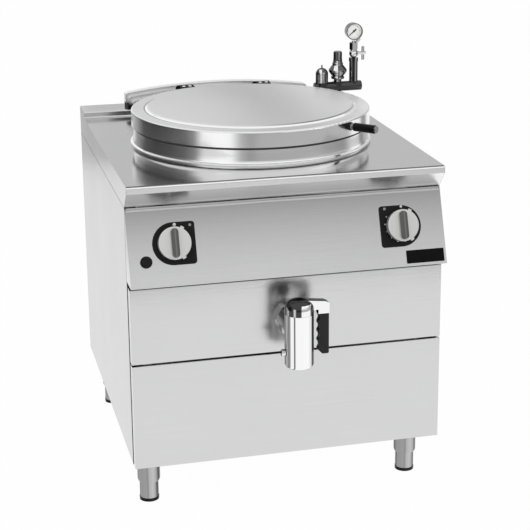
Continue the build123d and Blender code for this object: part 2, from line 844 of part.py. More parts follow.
def hinge_posts():
    half = hinge_block_width / 2 + hinge_side_gap
    posts = []
    for side in (-1, 1):
        x = side * hinge_offset
        fork = block(x - half - hinge_cheek, x + half + hinge_cheek, hinge_y - hinge_foot_length / 2,
                     hinge_y + hinge_foot_length / 2, worktop_height, worktop_height + hinge_foot_thickness)
        for start in (x - half - hinge_cheek, x + half):
            cheek = block(start, start + hinge_cheek, hinge_y - hinge_barrel_radius,
                          hinge_y + hinge_barrel_radius, worktop_height, hinge_z)
            cheek += bar_x(start, start + hinge_cheek, hinge_y, hinge_z, hinge_barrel_radius)
            fork += cheek
        fork -= bar_x(x - half - hinge_cheek, x + half + hinge_cheek, hinge_y, hinge_z, hinge_pin_radius)
        posts.append(fork)
    return posts


def hinge_axles():
    reach = hinge_block_width / 2 + hinge_side_gap + hinge_cheek
    axles = []
    for side in (-1, 1):
        x = side * hinge_offset
        axle = bar_x(x - reach - hinge_pin_head, x + reach + hinge_pin_head, hinge_y, hinge_z,
                     hinge_pin_radius)
        for end in (x - reach - hinge_pin_head, x + reach):
            axle += bar_x(end, end + hinge_pin_head, hinge_y, hinge_z, hinge_pin_radius * 4 / 3)
        axles.append(axle)
    return axles


# Draw-off tap


def tap_flange():
    back = front_y
    front = back - tap_flange_thickness
    nut = Pos(0, back, tap_height) * Rot(90, 0, 0) * hexagon(tap_flange_flats, tap_flange_thickness)
    cone = Pos(0, (back + front) / 2, tap_height) * Rot(90, 0, 0) * Cylinder(
        tap_flange_flats / 2 + seam_gap * 3, tap_flange_thickness)
    return (nut & cone) - bar_y(0, front, back, tap_height, tap_neck_radius - seam_gap)


def tap_body():
    neck_end = front_y
    top = tap_top_z
    barrel = outline([(0, spout_z), (spout_radius, spout_z), (spout_radius, top), (0, top)],
                     [((spout_radius, spout_z), spout_edge)])
    body = turned(barrel, 0, tap_y)
    body += bar_y(0, tap_y, neck_end, tap_height, tap_neck_radius - seam_gap)
    body += bar_x(-spout_radius - seam_gap, 0, tap_y, tap_height - tap_screw_drop, tap_screw_radius * 3 / 4)
    body -= post(0, tap_y, plug_bottom_z, top, plug_radius)
    body -= post(0, tap_y, spout_z, plug_bottom_z, spout_bore)
    body -= bar_y(0, tap_y + plug_radius / 2, neck_end, tap_height, drain_bore)
    return body - bar_x(-spout_radius - seam_gap, -spout_bore, tap_y, tap_height - tap_screw_drop,
                        tap_screw_shank)


def tap_plug():
    radius = plug_radius - running_fit
    top = tap_top_z + cap_gap
    plug = post(0, tap_y, plug_bottom_z + cap_gap, top, radius)
    plug -= post(0, tap_y, plug_bottom_z, tap_height, plug_port_radius)
    return plug - bar_x(-plug_radius, 0, tap_y, tap_height, plug_port_radius)


def tap_cap():
    base = tap_top_z + cap_gap
    cap = Pos(0, tap_y, base) * extrude(Circle(cap_radius), cap_height)
    dome = fillet(cap.edges().group_by(Axis.Z)[-1], cap_dome)
    arm_z = tap_height + arm_rise
    grip_z = tap_height + grip_rise
    face = outline([(0, arm_z), (grip_inner, arm_z), (grip_inner, grip_z), (arm_reach, grip_z),
                    (arm_reach, arm_z + arm_height * 3 / 4),
                    (arm_reach - arm_height / 2, arm_z + arm_height), (0, base + cap_height)],
                   [((arm_reach, arm_z + arm_height * 3 / 4), arm_height / 5),
                    ((arm_reach - arm_height / 2, arm_z + arm_height), arm_height / 5)])
    arm = prism_y(face, tap_y - arm_width / 2, tap_y + arm_width / 2)
    return dome + arm


def tap_grip():
    top = tap_height + grip_rise
    low = top - grip_length
    outer = arm_reach
    face = outline([(grip_inner, top), (outer, top), (outer, low), (grip_inner + grip_bevel, low),
                    (grip_inner, low + grip_bevel)], [((outer, low), grip_bevel / 3)])
    pitch = (grip_length - grip_bevel) / groove_count
    for index in range(groove_count):
        centre = Pos(grip_inner - groove_radius + groove_depth, top - (index + 0.5) * pitch)
        face -= centre * Circle(groove_radius)
    grip = prism_y(face, tap_y - grip_width / 2, tap_y + grip_width / 2)
    return fillet(grip.edges().filter_by(Axis.Z).sort_by(Axis.X)[-2:], grip_width / 4)


def tap_locking_screw():
    z = tap_height - tap_screw_drop
    seat = -spout_radius - seam_gap
    head = bar_x(seat - tap_screw_length, seat, tap_y, z, tap_screw_radius)
    head = fillet(head.edges().group_by(Axis.X)[0], tap_screw_length / 3)
    return head + bar_x(seat, -spout_bore - seam_gap, tap_y, z, tap_screw_shank)


# Controls


def bezel(side):
    """D-shaped plate: half round towards the cabinet's side, square towards its middle."""
    face = Circle(bezel_radius)
    square = Pos(bezel_flat / 2, 0) * Rectangle(bezel_flat, 2 * bezel_radius)
    square = fillet(square.vertices().sort_by(Axis.X)[-2:], bezel_corner)
    face += square
    face -= Circle(spindle_hole_radius)
    plate = extrude(face, bezel_thickness)
    if side > 0:
        plate = mirror(plate, Plane.YZ)
    return on_slope(side * knob_offset, knob_slope_height) * plate


def knob(side):
    """Round knob with a raised grip bar across it and two stop lugs on its edge."""
    base = bezel_thickness + knob_gap
    front = base + knob_depth
    body = Pos(0, 0, base) * extrude(Circle(knob_radius), knob_depth)
    body = fillet(body.edges().group_by(Axis.Z)[-1], knob_edge)
    for turn in (-knob_lug_angle, knob_lug_angle):
        lug = Pos(knob_radius, 0, front - knob_depth / 4) * Box(
            2 * knob_lug_reach, knob_lug_width, knob_depth / 3)
        body += Rot(0, 0, turn) * lug
    blade_face = SlotOverall(knob_blade_length, knob_blade_width)
    blade = Pos(0, 0, front - knob_edge) * Rot(0, 0, 90) * extrude(
        blade_face, knob_blade_depth + knob_edge, taper=5)
    body += fillet(blade.edges().group_by(Axis.Z)[-1], knob_edge)
    body -= Pos(0, 0, base + knob_socket_depth / 2) * Cylinder(
        spindle_radius + (running_fit if side < 0 else 0), knob_socket_depth)
    return on_slope(side * knob_offset, knob_slope_height) * body


def spindle(side):
    base = bezel_thickness + knob_gap
    top = base + knob_socket_depth - (knob_gap if side < 0 else 0)
    low = -spindle_length + seam_gap
    rod = Pos(0, 0, (top + low) / 2) * Cylinder(spindle_radius, top - low)
    return on_slope(side * knob_offset, knob_slope_height) * rod


def igniter_housing():
    sleeve = igniter_button_radius + igniter_clearance
    ring = Pos(0, 0, igniter_ring_height / 2) * Cylinder(igniter_ring_radius, igniter_ring_height)
    body = Pos(0, 0, -igniter_body_length / 2) * Cylinder(igniter_body_radius, igniter_body_length)
    nut = Pos(0, 0, -panel_sheet - igniter_ring_height) * hexagon(2 * igniter_ring_radius, igniter_ring_height)
    stem = igniter_body_radius / 2 + running_fit
    bore = Pos(0, 0, -igniter_body_length / 4) * Cylinder(stem, igniter_body_length / 2 + 2 * igniter_floor)
    housing = ring + body + nut - bore
    housing -= Pos(0, 0, igniter_floor + igniter_ring_height / 2) * Cylinder(sleeve, igniter_ring_height)
    return on_slope(-igniter_offset, igniter_slope_height) * housing


def igniter_button():
    low = igniter_floor + igniter_travel + igniter_clearance
    cap = Pos(0, 0, low) * extrude(Circle(igniter_button_radius), igniter_button_rise - igniter_floor)
    cap = fillet(cap.edges().group_by(Axis.Z)[-1], igniter_button_radius / 6)
    stem_low = -igniter_body_length / 2 + igniter_travel + seam_gap
    stem = Pos(0, 0, (low + stem_low) / 2) * Cylinder(igniter_body_radius / 2, low - stem_low)
    return on_slope(-igniter_offset, igniter_slope_height) * (cap + stem)


# Safety group


def steam_riser():
    away = Vector(riser_x, riser_y - kettle_y, 0)
    start = Vector(0, kettle_y, riser_height) + away / away.length * (jacket_radius - jacket_wall)
    top = manifold_z - manifold_radius
    tube = pipe([start, (riser_x, riser_y, riser_height), (riser_x, riser_y, top)], 2 * riser_radius,
                riser_radius)
    nut = Pos(riser_x, riser_y, worktop_height) * hexagon(riser_nut_flats, riser_nut_height)
    return tube + nut


def safety_manifold():
    start = riser_x - manifold_half_length
    end = riser_x + manifold_half_length
    body = bar_x(start, end, riser_y, manifold_z, manifold_radius)
    body = fillet(body.edges().filter_by(GeomType.CIRCLE), manifold_radius / 6)
    flat = worktop_height + manifold_rise + manifold_radius
    for x, radius in ((vacuum_x, vacuum_radius), (riser_x, safety_base_radius), (column_x, column_radius)):
        body += post(x, riser_y, manifold_z, flat, radius)
    body -= post(riser_x, riser_y, manifold_z - 2 * manifold_radius, manifold_z - manifold_radius, riser_radius)
    hollow = bar_x(start + manifold_radius, end - manifold_radius, riser_y, manifold_z, manifold_radius / 2)
    return body - hollow


def vacuum_valve():
    base = manifold_z + manifold_radius
    barrel = Pos(vacuum_x, riser_y, base) * extrude(Circle(vacuum_radius), vacuum_barrel)
    dome = Pos(vacuum_x, riser_y, base + vacuum_barrel) * Sphere(vacuum_radius)
    body = barrel + (dome & block(vacuum_x - vacuum_radius, vacuum_x + vacuum_radius,
                                  riser_y - vacuum_radius, riser_y + vacuum_radius,
                                  base + vacuum_barrel, base + vacuum_barrel + vacuum_radius))
    top = base + vacuum_barrel + vacuum_radius
    return body - post(vacuum_x, riser_y, base, top, vacuum_pin_radius + running_fit)


def vacuum_valve_pin():
    base = manifold_z + manifold_radius + vacuum_travel + seam_gap
    top = manifold_z + manifold_radius + vacuum_barrel + vacuum_radius + vacuum_pin_rise
    return post(vacuum_x, riser_y, base, top, vacuum_pin_radius)


def safety_valve_body():
    base = manifold_z + manifold_radius
    wide = worktop_height + safety_widest_rise
    neck = worktop_height + safety_neck_rise
    lip = safety_cap_radius + 2 * seam_gap
    face = outline([(0, base), (safety_base_radius, base), (safety_base_radius, base + 2 * seam_gap),
                    (safety_body_radius, wide - 5 * seam_gap), (safety_body_radius, wide + 3 * seam_gap),
                    (lip, neck - 3 * seam_gap), (lip, neck), (0, neck)])
    body = turned(face, riser_x, riser_y)
    return body - post(riser_x, riser_y, wide, neck, safety_stem_radius + running_fit)


def safety_valve_cap():
    neck = worktop_height + safety_neck_rise
    base = neck + seal_gap
    top = worktop_height + safety_cap_rise
    cap = Pos(riser_x, riser_y, base) * extrude(Circle(safety_cap_radius), top - base)
    cap = fillet(cap.edges().group_by(Axis.Z)[-1], safety_cap_radius / 5)
    wide = worktop_height + safety_widest_rise
    return cap + post(riser_x, riser_y, wide + seam_gap, base, safety_stem_radius)


def gauge_column():
    base = manifold_z + manifold_radius
    shoulder = worktop_height + column_top_rise
    tube = post(column_x, riser_y, base, shoulder, column_radius)
    tube = fillet(tube.edges().group_by(Axis.Z)[-1], seam_gap)
    collar = post(column_x, riser_y, shoulder, shoulder + column_collar_height, column_collar_radius)
    return tube + collar - Pos(column_x, riser_y, cock_z) * Sphere(cock_ball_radius)


def gauge_cock():
    nut_z = worktop_height + cock_nut_bottom_rise
    nut_top = worktop_height + cock_nut_top_rise
    gauge_low = gauge_z - gauge_radius
    body = Pos(column_x, riser_y, cock_z) * Sphere(cock_ball_radius)
    body += bar_x(column_x, column_x + cock_ball_radius + 2 * seam_gap, riser_y, cock_z,
                  cock_stem_radius + 2 * seam_gap)
    body += post(column_x, riser_y, cock_z, nut_z, cock_neck_radius)
    body += Pos(column_x, riser_y, nut_z) * hexagon(cock_nut_flats, nut_top - nut_z)
    body += post(column_x, riser_y, nut_top, gauge_low + gauge_wall, test_stub_radius + seam_gap)
    stub = Pos(column_x, riser_y, (nut_z + nut_top) / 2) * Rot(0, 90 - test_stub_angle, 0) * Pos(
        0, 0, cock_nut_flats / 4 + test_stub_length / 2) * Cylinder(test_stub_radius, test_stub_length)
    body += stub
    body -= bar_x(column_x - cock_ball_radius / 2, column_x + cock_ball_radius + 2 * seam_gap, riser_y,
                  cock_z, cock_stem_radius + running_fit)
    return body - bar_y(column_x, riser_y - gauge_depth, riser_y + gauge_depth, gauge_z, gauge_radius)


def gauge_cock_handle():
    start = column_x - cock_ball_radius / 2 + seam_gap
    end = column_x + cock_stem_reach + cock_tee_radius
    stem = bar_x(start, end + cock_tee_radius, riser_y, cock_z, cock_stem_radius)
    tee = post(end - cock_tee_radius, riser_y, cock_z - cock_tee_length / 2, cock_z + cock_tee_length / 2,
               cock_tee_radius)
    return stem + fillet(tee.edges().filter_by(GeomType.CIRCLE), cock_tee_radius / 2)


def gauge_case():
    front = riser_y - gauge_depth / 2
    case = bar_y(column_x, front, front + gauge_depth, gauge_z, gauge_radius)
    case = fillet(case.edges().filter_by(GeomType.CIRCLE), gauge_wall / 2)
    window = gauge_radius - gauge_bezel
    case -= bar_y(column_x, front, front + gauge_wall, gauge_z, window)
    return case - bar_y(column_x, front + gauge_wall, front + gauge_depth - gauge_wall, gauge_z,
                        gauge_radius - gauge_wall)


def gauge_dial():
    back = gauge_front_y + gauge_depth - gauge_wall
    dial_y = gauge_front_y + gauge_depth / 2
    plate = bar_y(column_x, dial_y - dial_thickness, dial_y, gauge_z, gauge_radius - gauge_wall)
    plate += bar_y(column_x, dial_y, back, gauge_z, gauge_radius / 3)
    return plate - bar_y(column_x, dial_y - dial_thickness, back, gauge_z, pointer_pin_radius + running_fit)


def gauge_pointer():
    dial_front = gauge_front_y + gauge_depth / 2 - dial_thickness
    needle_y = dial_front - 2 * pointer_thickness
    back = gauge_front_y + gauge_depth / 2 + gauge_depth / 4
    face = outline([(-pointer_tail, -pointer_width), (0, -pointer_width * 3 / 4),
                    (pointer_length, -pointer_width / 6), (pointer_length, pointer_width / 6),
                    (0, pointer_width * 3 / 4), (-pointer_tail, pointer_width)])
    face += Circle(pointer_width * 1.4)
    needle = Pos(column_x, 0, gauge_z) * prism_y(Rot(0, 0, pointer_angle) * face,
                                                needle_y - pointer_thickness, needle_y)
    return needle + bar_y(column_x, needle_y, back, gauge_z, pointer_pin_radius)


def gauge_glass():
    start = gauge_front_y + gauge_wall
    return bar_y(column_x, start, start + gauge_glass_thickness, gauge_z, gauge_radius - gauge_wall)


# Feet


def foot_places():
    return [(side * foot_x, y) for y in (foot_front_y, foot_rear_y) for side in (-1, 1)]


def foot_sleeves():
    sleeves = []
    for x, y in foot_places():
        sleeve = post(x, y, foot_sleeve_bottom, leg_height, foot_sleeve_radius)
        sleeve = chamfer(sleeve.edges().group_by(Axis.Z)[0], foot_sleeve_chamfer * 2 / 3)
        half = foot_plate / 2
        sleeve += block(x - half, x + half, y - half, y + half, leg_height - foot_plate_thickness, leg_height)
        sleeve -= post(x, y, foot_sleeve_bottom, leg_height - foot_plate_thickness, foot_tube_radius + running_fit)
        sleeves.append(sleeve)
    return sleeves


def foot(place):
    """Adjustable foot: a tube that slides in its sleeve, on a broader base."""
    x, y = place
    top = leg_height - foot_plate_thickness
    tube = post(x, y, 0, top, foot_tube_radius)
    tube += post(x, y, 0, foot_pad_height, foot_pad_radius)
    return tube - post(x, y, foot_pad_height, top - foot_tube_wall, foot_tube_radius - foot_tube_wall)


def build_nodes():
    """Every piece of the pan, by its node name."""
    places = foot_places()
    return {
        "worktop": worktop(),
        "side_panel_left": side_panel(-1),
        "side_panel_right": side_panel(1),
        "rear_panel": rear_panel(),
        "chassis": chassis(),
        "control_console": control_console(),
        "drain_panel": drain_panel(),
        "lower_front_panel": lower_front_panel(),
        "flue_hood": flue_hood(),
        "flue_hood_blocks": flue_hood_blocks(),
        "flue_duct": flue_duct(),
        "kettle": kettle(),
        "kettle_neck": kettle_neck(),
        "steam_jacket": steam_jacket(),
        "insulation": insulation(),
        "drain_pipe": drain_pipe(),
        "burner": burner(),
        "gas_valve": gas_valve(),
        "energy_regulator": energy_regulator(),
        "gas_pipework": gas_pipework(),
        "lid_shell": lid_shell(),
        "lid_liner": lid_liner(),
        "lid_seal": lid_seal(),
        "lid_handle_rod": lid_handle_rod(),
        "lid_handle_grip": lid_handle_grip(),
        "hinge_brackets": hinge_brackets(),
        "hinge_screws": hinge_screws(),
        "hinge_posts": hinge_posts(),
        "hinge_axles": hinge_axles(),
        "tap_flange": tap_flange(),
        "tap_body": tap_body(),
        "tap_plug": tap_plug(),
        "tap_cap": tap_cap(),
        "tap_grip": tap_grip(),
        "tap_locking_screw": tap_locking_screw(),
        "bezel_left": bezel(-1),
        "bezel_right": bezel(1),
        "gas_knob": knob(-1),
        "regulator_knob": knob(1),
        "gas_spindle": spindle(-1),
        "regulator_spindle": spindle(1),
        "igniter_housing": igniter_housing(),
        "igniter_button": igniter_button(),
        "steam_riser": steam_riser(),
        "safety_manifold": safety_manifold(),
        "vacuum_valve": vacuum_valve(),
        "vacuum_valve_pin": vacuum_valve_pin(),
        "safety_valve_body": safety_valve_body(),
        "safety_valve_cap": safety_valve_cap(),
        "gauge_column": gauge_column(),
        "gauge_cock": gauge_cock(),
        "gauge_cock_handle": gauge_cock_handle(),
        "gauge_case": gauge_case(),
        "gauge_dial": gauge_dial(),
        "gauge_pointer": gauge_pointer(),
        "gauge_glass": gauge_glass(),
        "foot_sleeves": foot_sleeves(),
        "foot_front_left": foot(places[0]),
        "foot_front_right": foot(places[1]),
        "foot_rear_left": foot(places[2]),
        "foot_rear_right": foot(places[3]),
    }


def write_nodes():
    os.makedirs("parts", exist_ok=True)
    for name, shape in build_nodes().items():
        solids = list(shape) if isinstance(shape, list) else [shape]
        group = Compound(children=[solid for item in solids for solid in item.solids()])
        group.label = name
        export_step(group, f"parts/{name}.step")


write_nodes()
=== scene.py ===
import logging
import math
from dataclasses import dataclass
from enum import Enum
from typing import Iterable, Optional, Sequence, Union

import bmesh
import bpy
from mathutils import Matrix, Vector


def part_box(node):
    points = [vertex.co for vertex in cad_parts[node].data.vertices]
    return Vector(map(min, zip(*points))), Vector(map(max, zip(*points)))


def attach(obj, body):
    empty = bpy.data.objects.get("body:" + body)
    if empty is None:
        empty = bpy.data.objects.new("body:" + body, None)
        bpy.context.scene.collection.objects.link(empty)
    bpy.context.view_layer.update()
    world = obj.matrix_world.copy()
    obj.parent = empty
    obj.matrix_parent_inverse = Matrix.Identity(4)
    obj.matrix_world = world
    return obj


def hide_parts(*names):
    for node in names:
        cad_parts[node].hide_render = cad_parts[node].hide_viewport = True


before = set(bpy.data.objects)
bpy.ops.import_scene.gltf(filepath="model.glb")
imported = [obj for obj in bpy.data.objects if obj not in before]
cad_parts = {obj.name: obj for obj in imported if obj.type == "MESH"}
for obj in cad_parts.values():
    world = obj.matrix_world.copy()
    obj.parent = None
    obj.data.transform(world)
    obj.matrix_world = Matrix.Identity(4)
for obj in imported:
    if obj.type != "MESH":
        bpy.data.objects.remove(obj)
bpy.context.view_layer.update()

LOG = logging.getLogger("boiling_pan")
MM = 0.001
Colour = tuple[float, float, float]
Point = tuple[float, float, float]
Table = tuple[tuple[float, float], ...]

# Direction along the floor to the right of whoever took the photo
PHOTO_RIGHT = (0.969, -0.246)
BLACK = (0.0, 0.0, 0.0)
WHITE = (1.0, 1.0, 1.0)


class Grain(Enum):
    """Direction of the polishing lines on sheet metal."""

    ALONG_X = "x"
    ALONG_Y = "y"
    ALONG_Z = "z"
    SPUN = "round an upright axis"
    NONE = "no lines"


# Shader arithmetic


class Signal:
    """A shader socket that does arithmetic by adding Math nodes."""

    def __init__(self, bench: "NodeBench", socket: bpy.types.NodeSocket) -> None:
        """Wrap an output socket of a bench's node tree."""
        self.bench = bench
        self.socket = socket

    def _math(self, operation: str, first: "Value", second: "Value" = 0.0) -> "Signal":
        """Return the result of one Math node."""
        return self.bench.add("ShaderNodeMath", {"operation": operation}, {0: first, 1: second})

    def __add__(self, other: "Value") -> "Signal":
        """Return self + other."""
        return self._math("ADD", self, other)

    def __radd__(self, other: "Value") -> "Signal":
        """Return other + self."""
        return self._math("ADD", other, self)

    def __sub__(self, other: "Value") -> "Signal":
        """Return self - other."""
        return self._math("SUBTRACT", self, other)

    def __rsub__(self, other: "Value") -> "Signal":
        """Return other - self."""
        return self._math("SUBTRACT", other, self)

    def __mul__(self, other: "Value") -> "Signal":
        """Return self * other."""
        return self._math("MULTIPLY", self, other)

    def __rmul__(self, other: "Value") -> "Signal":
        """Return other * self."""
        return self._math("MULTIPLY", other, self)

    def __truediv__(self, other: "Value") -> "Signal":
        """Return self / other."""
        return self._math("DIVIDE", self, other)

    def __rtruediv__(self, other: "Value") -> "Signal":
        """Return other / self."""
        return self._math("DIVIDE", other, self)

    def __pow__(self, other: "Value") -> "Signal":
        """Return self ** other."""
        return self._math("POWER", self, other)

    def __gt__(self, other: "Value") -> "Signal":
        """Return 1 where self is greater than other, else 0."""
        return self._math("GREATER_THAN", self, other)

    def __lt__(self, other: "Value") -> "Signal":
        """Return 1 where self is less than other, else 0."""
        return self._math("LESS_THAN", self, other)

    def __abs__(self) -> "Signal":
        """Return the absolute value."""
        return self._math("ABSOLUTE", self)

    def clamped(self) -> "Signal":
        """Return the value held between 0 and 1."""
        return self._math("MAXIMUM", self._math("MINIMUM", self, 1.0), 0.0)

    def either(self, other: "Value") -> "Signal":
        """Return the larger of two values."""
        return self._math("MAXIMUM", self, other)

    def both(self, other: "Value") -> "Signal":
        """Return the smaller of two values."""
        return self._math("MINIMUM", self, other)

    def ramp(self, start: float, length: float) -> "Signal":
        """Return 0 up to the start, rising to 1 over the length."""
        return ((self - start) / length).clamped()

    def within(self, low: float, high: float) -> "Signal":
        """Return 1 between two limits, else 0."""
        return (self > low).both(self < high)

    def root(self) -> "Signal":
        """Return the square root."""
        return self._math("SQRT", self)

    def bearing(self, other: "Value") -> "Signal":
        """Return the angle whose tangent is self over other, in radians."""
        return self._math("ARCTAN2", self, other)


Value = Union[Signal, float]


class NodeBench:
    """Adds nodes to one node tree."""

    def __init__(self, tree: bpy.types.NodeTree) -> None:
        """Empty the node tree of a material or world and work on it."""
        self.tree = tree
        tree.nodes.clear()

    def add(self, kind: str, settings: Optional[dict] = None, inputs: Optional[dict] = None,
            out: Union[int, str] = 0) -> Signal:
        """Add a node, set it up, then feed its sockets.

        Args:
            kind: The node's type.
            settings: Properties to set first; "stops" holds a ramp's (position, colour) pairs.
            inputs: Values or signals by socket name or number.
            out: The output socket to return.

        Returns:
            The chosen output socket.
        """
        node = self.tree.nodes.new(kind)
        for key, value in (settings or {}).items():
            if key == "stops":
                self._set_stops(node.color_ramp, value)
            else:
                setattr(node, key, value)
        for key, value in (inputs or {}).items():
            self.feed(node.inputs[key], value)
        if not node.outputs:
            return Signal(self, None)
        return Signal(self, node.outputs[out])

    def feed(self, socket: bpy.types.NodeSocket, value: object) -> None:
        """Link a signal to a socket, or set the socket's value.

        Args:
            socket: The input socket.
            value: A signal, number, or tuple.
        """
        if isinstance(value, Signal):
            self.tree.links.new(value.socket, socket)
        elif isinstance(value, tuple) and len(value) == 3 and socket.type == "RGBA":
            socket.default_value = (*value, 1.0)
        else:
            socket.default_value = value

    @staticmethod
    def _set_stops(ramp: bpy.types.ColorRamp, stops: Sequence[tuple[float, Colour]]) -> None:
        """Set a ramp's stops.

        Args:
            ramp: The colour ramp.
            stops: Position and colour of each stop, in order.
        """
        while len(ramp.elements) < len(stops):
            ramp.elements.new(1.0)
        for element, (position, colour) in zip(ramp.elements, stops):
            element.position = position
            element.color = (*colour, 1.0)

    def place(self) -> Signal:
        """Return the coordinates in the row frame, in metres."""
        return self.add("ShaderNodeTexCoord", out="Object")

    def normal(self) -> Signal:
        """Return the surface's own normal in the row frame."""
        return self.add("ShaderNodeTexCoord", out="Normal")

    def across(self) -> Signal:
        """Return how far the surface turns to the photographer's right, from 0 to 1."""
        x, y, z = self.axes(self.normal())
        return ((x * PHOTO_RIGHT[0] + y * PHOTO_RIGHT[1]) * 0.5 + 0.5).clamped()

    def table(self, value: Signal, stops: Table) -> Signal:
        """Return the level that a table of positions and levels has at a value from 0 to 1."""
        return self.add("ShaderNodeValToRGB",
                        {"stops": [(at, (level, level, level)) for at, level in stops]}, {0: value})

    def axes(self, vector: Signal) -> tuple[Signal, Signal, Signal]:
        """Return a vector's X, Y and Z."""
        node = self.tree.nodes.new("ShaderNodeSeparateXYZ")
        self.feed(node.inputs[0], vector)
        return tuple(Signal(self, socket) for socket in node.outputs)

    def join(self, x: Value, y: Value, z: Value) -> Signal:
        """Return a vector from three values."""
        return self.add("ShaderNodeCombineXYZ", {}, {0: x, 1: y, 2: z})

    def scaled(self, vector: Signal, factors: Point) -> Signal:
        """Return a vector with each axis scaled."""
        return self.add("ShaderNodeVectorMath", {"operation": "MULTIPLY"}, {0: vector, 1: factors})

    def noise(self, vector: Signal, scale: float, detail: float = 3.0, rough: float = 0.5) -> Signal:
        """Return fractal noise from 0 to 1, with a scale in cells per metre of the vector."""
        return self.add("ShaderNodeTexNoise", {"noise_dimensions": "3D"},
                        {"Vector": vector, "Scale": scale, "Detail": detail, "Roughness": rough})

    def blend(self, factor: Value, first: object, second: object) -> Signal:
        """Return a colour between two colours."""
        return self.add("ShaderNodeMix", {"data_type": "RGBA"}, {0: factor, 6: first, 7: second}, out=2)

    def bump(self, height: Signal, depth: float, strength: float) -> Signal:
        """Return a normal bent by a relief from 0 to 1 that is so many metres deep."""
        return self.add("ShaderNodeBump", {}, {"Height": height, "Distance": depth, "Strength": strength})

    def end(self, kind: str, shader: Signal) -> None:
        """Close the tree with an output node."""
        self.add(kind, {}, {"Surface": shader})


def fresh_material(name: str) -> tuple[bpy.types.Material, NodeBench]:
    """Return a new material and the bench of its empty node tree."""
    made = bpy.data.materials.new(name)
    made.use_nodes = True
    return made, NodeBench(made.node_tree)


# Finishes


@dataclass(frozen=True)
class Finish:
    """A surface finish that becomes one procedural material."""

    name: str

    def material(self) -> bpy.types.Material:
        """Return this finish's material, made once."""
        found = bpy.data.materials.get(self.name)
        if found:
            return found
        made, bench = fresh_material(self.name)
        bench.end("ShaderNodeOutputMaterial", self.shader(bench))
        return made

    def shader(self, bench: NodeBench) -> Signal:
        """Return the finish's shader, built on a bench."""
        raise NotImplementedError


@dataclass(frozen=True)
class SheetSteel(Finish):
    """Metal with polishing lines.

    Attributes:
        tone: Brightness of the metal's colour.
        contrast: Share by which the colour varies.
        relief: Depth of the polishing lines as a share of their pitch.
        length_cells: Noise cells per metre along straight lines.
        spun_cells: Noise cells per metre round a spun piece.
        plain_cells: Noise cells per metre where there are no lines.
        cloud_cells: Noise cells per metre of the slow variation.
        cloud_share: Share of the slow variation in colour and roughness.
    """

    tone: float = 0.62
    roughness: float = 0.2
    grain: Grain = Grain.ALONG_X
    contrast: float = 0.07
    relief: float = 0.12
    line_pitch: float = 0.7 * MM
    tint: Colour = (1.0, 1.0, 1.005)
    centre: Point = (0.0, 0.0, 0.0)
    length_cells: float = 5.0
    spun_cells: float = 1.5
    plain_cells: float = 60.0
    cloud_cells: float = 5.0
    cloud_share: float = 0.3

    def _lines(self, bench: NodeBench) -> Signal:
        """Return noise that is long along the polishing lines and fine across them."""
        place = bench.place()
        fine = 1.0 / self.line_pitch
        if self.grain is Grain.SPUN:
            x, y, z = bench.axes(place)
            dx = x - self.centre[0]
            dy = y - self.centre[1]
            radius = (dx * dx + dy * dy).root()
            spun = bench.join(radius * fine, z * fine, (x + y) * self.spun_cells)
            return bench.noise(spun, 1.0, 2.0, 0.6)
        slow = self.length_cells
        scales = {
            Grain.ALONG_X: (slow, fine, fine),
            Grain.ALONG_Y: (fine, slow, fine),
            Grain.ALONG_Z: (fine, fine, slow),
            Grain.NONE: (self.plain_cells,) * 3,
        }
        return bench.noise(bench.scaled(place, scales[self.grain]), 1.0, 2.0, 0.6)

    def _level(self, bench: NodeBench) -> Value:
        """Return how bright the metal is, as a share of its tone."""
        return 1.0

    def _rough(self, bench: NodeBench) -> Value:
        """Return the roughness before its slow variation."""
        return self.roughness

    def shader(self, bench: NodeBench) -> Signal:
        """Build the metal."""
        lines = self._lines(bench)
        cloud = bench.noise(bench.place(), self.cloud_cells)
        low = tuple(self.tone * (1.0 - self.contrast) * t for t in self.tint)
        high = tuple(min(1.0, self.tone * (1.0 + self.contrast) * t) for t in self.tint)
        share = self.cloud_share
        colour = bench.blend((lines * (1.0 - share) + cloud * share).clamped(), low, high)
        level = self._level(bench)
        if isinstance(level, Signal):
            colour = bench.blend(level, BLACK, colour)
        rough = ((1.0 - share / 2 + cloud * share) * self._rough(bench)).clamped()
        sockets = {"Base Color": colour, "Metallic": 1.0, "Roughness": rough}
        if self.relief > 0.0:
            sockets["Normal"] = bench.bump(lines, self.line_pitch * self.relief, 1.0)
        return bench.add("ShaderNodeBsdfPrincipled", {}, sockets)


@dataclass(frozen=True)
class PlainMetal(SheetSteel):
    """Metal without polishing lines."""

    grain: Grain = Grain.NONE
    relief: float = 0.0


@dataclass(frozen=True)
class PaintedShadeSheet(SheetSteel):
    """Sheet steel with painted shade that darkens it towards an overhang above it."""

    bottom_z: float = 625.0 * MM
    top_z: float = 805.0 * MM
    top_share: float = 0.46
    curve: float = 1.3

    def _level(self, bench: NodeBench) -> Value:
        """Return the brightness, which falls with height as painted shade."""
        x, y, z = bench.axes(bench.place())
        # painted shade: the colour darkens towards the top
        rise = z.ramp(self.bottom_z, self.top_z - self.bottom_z)
        return 1.0 - (rise ** self.curve) * (1.0 - self.top_share)


@dataclass(frozen=True)
class PaintedEdgeShadowSheet(SheetSteel):
    """Sheet steel with a narrow painted shadow along one edge."""

    axis: Point = (0.0, 0.0, 1.0)
    edge: float = 613.0 * MM
    depth: float = 5.0 * MM
    share: float = 0.08

    def _level(self, bench: NodeBench) -> Value:
        """Return the brightness, which falls close to the edge as a painted shadow."""
        x, y, z = bench.axes(bench.place())
        along = x * self.axis[0] + y * self.axis[1] + z * self.axis[2]
        near = along.ramp(self.edge - self.depth, self.depth)
        return 1.0 - near * (1.0 - self.share)


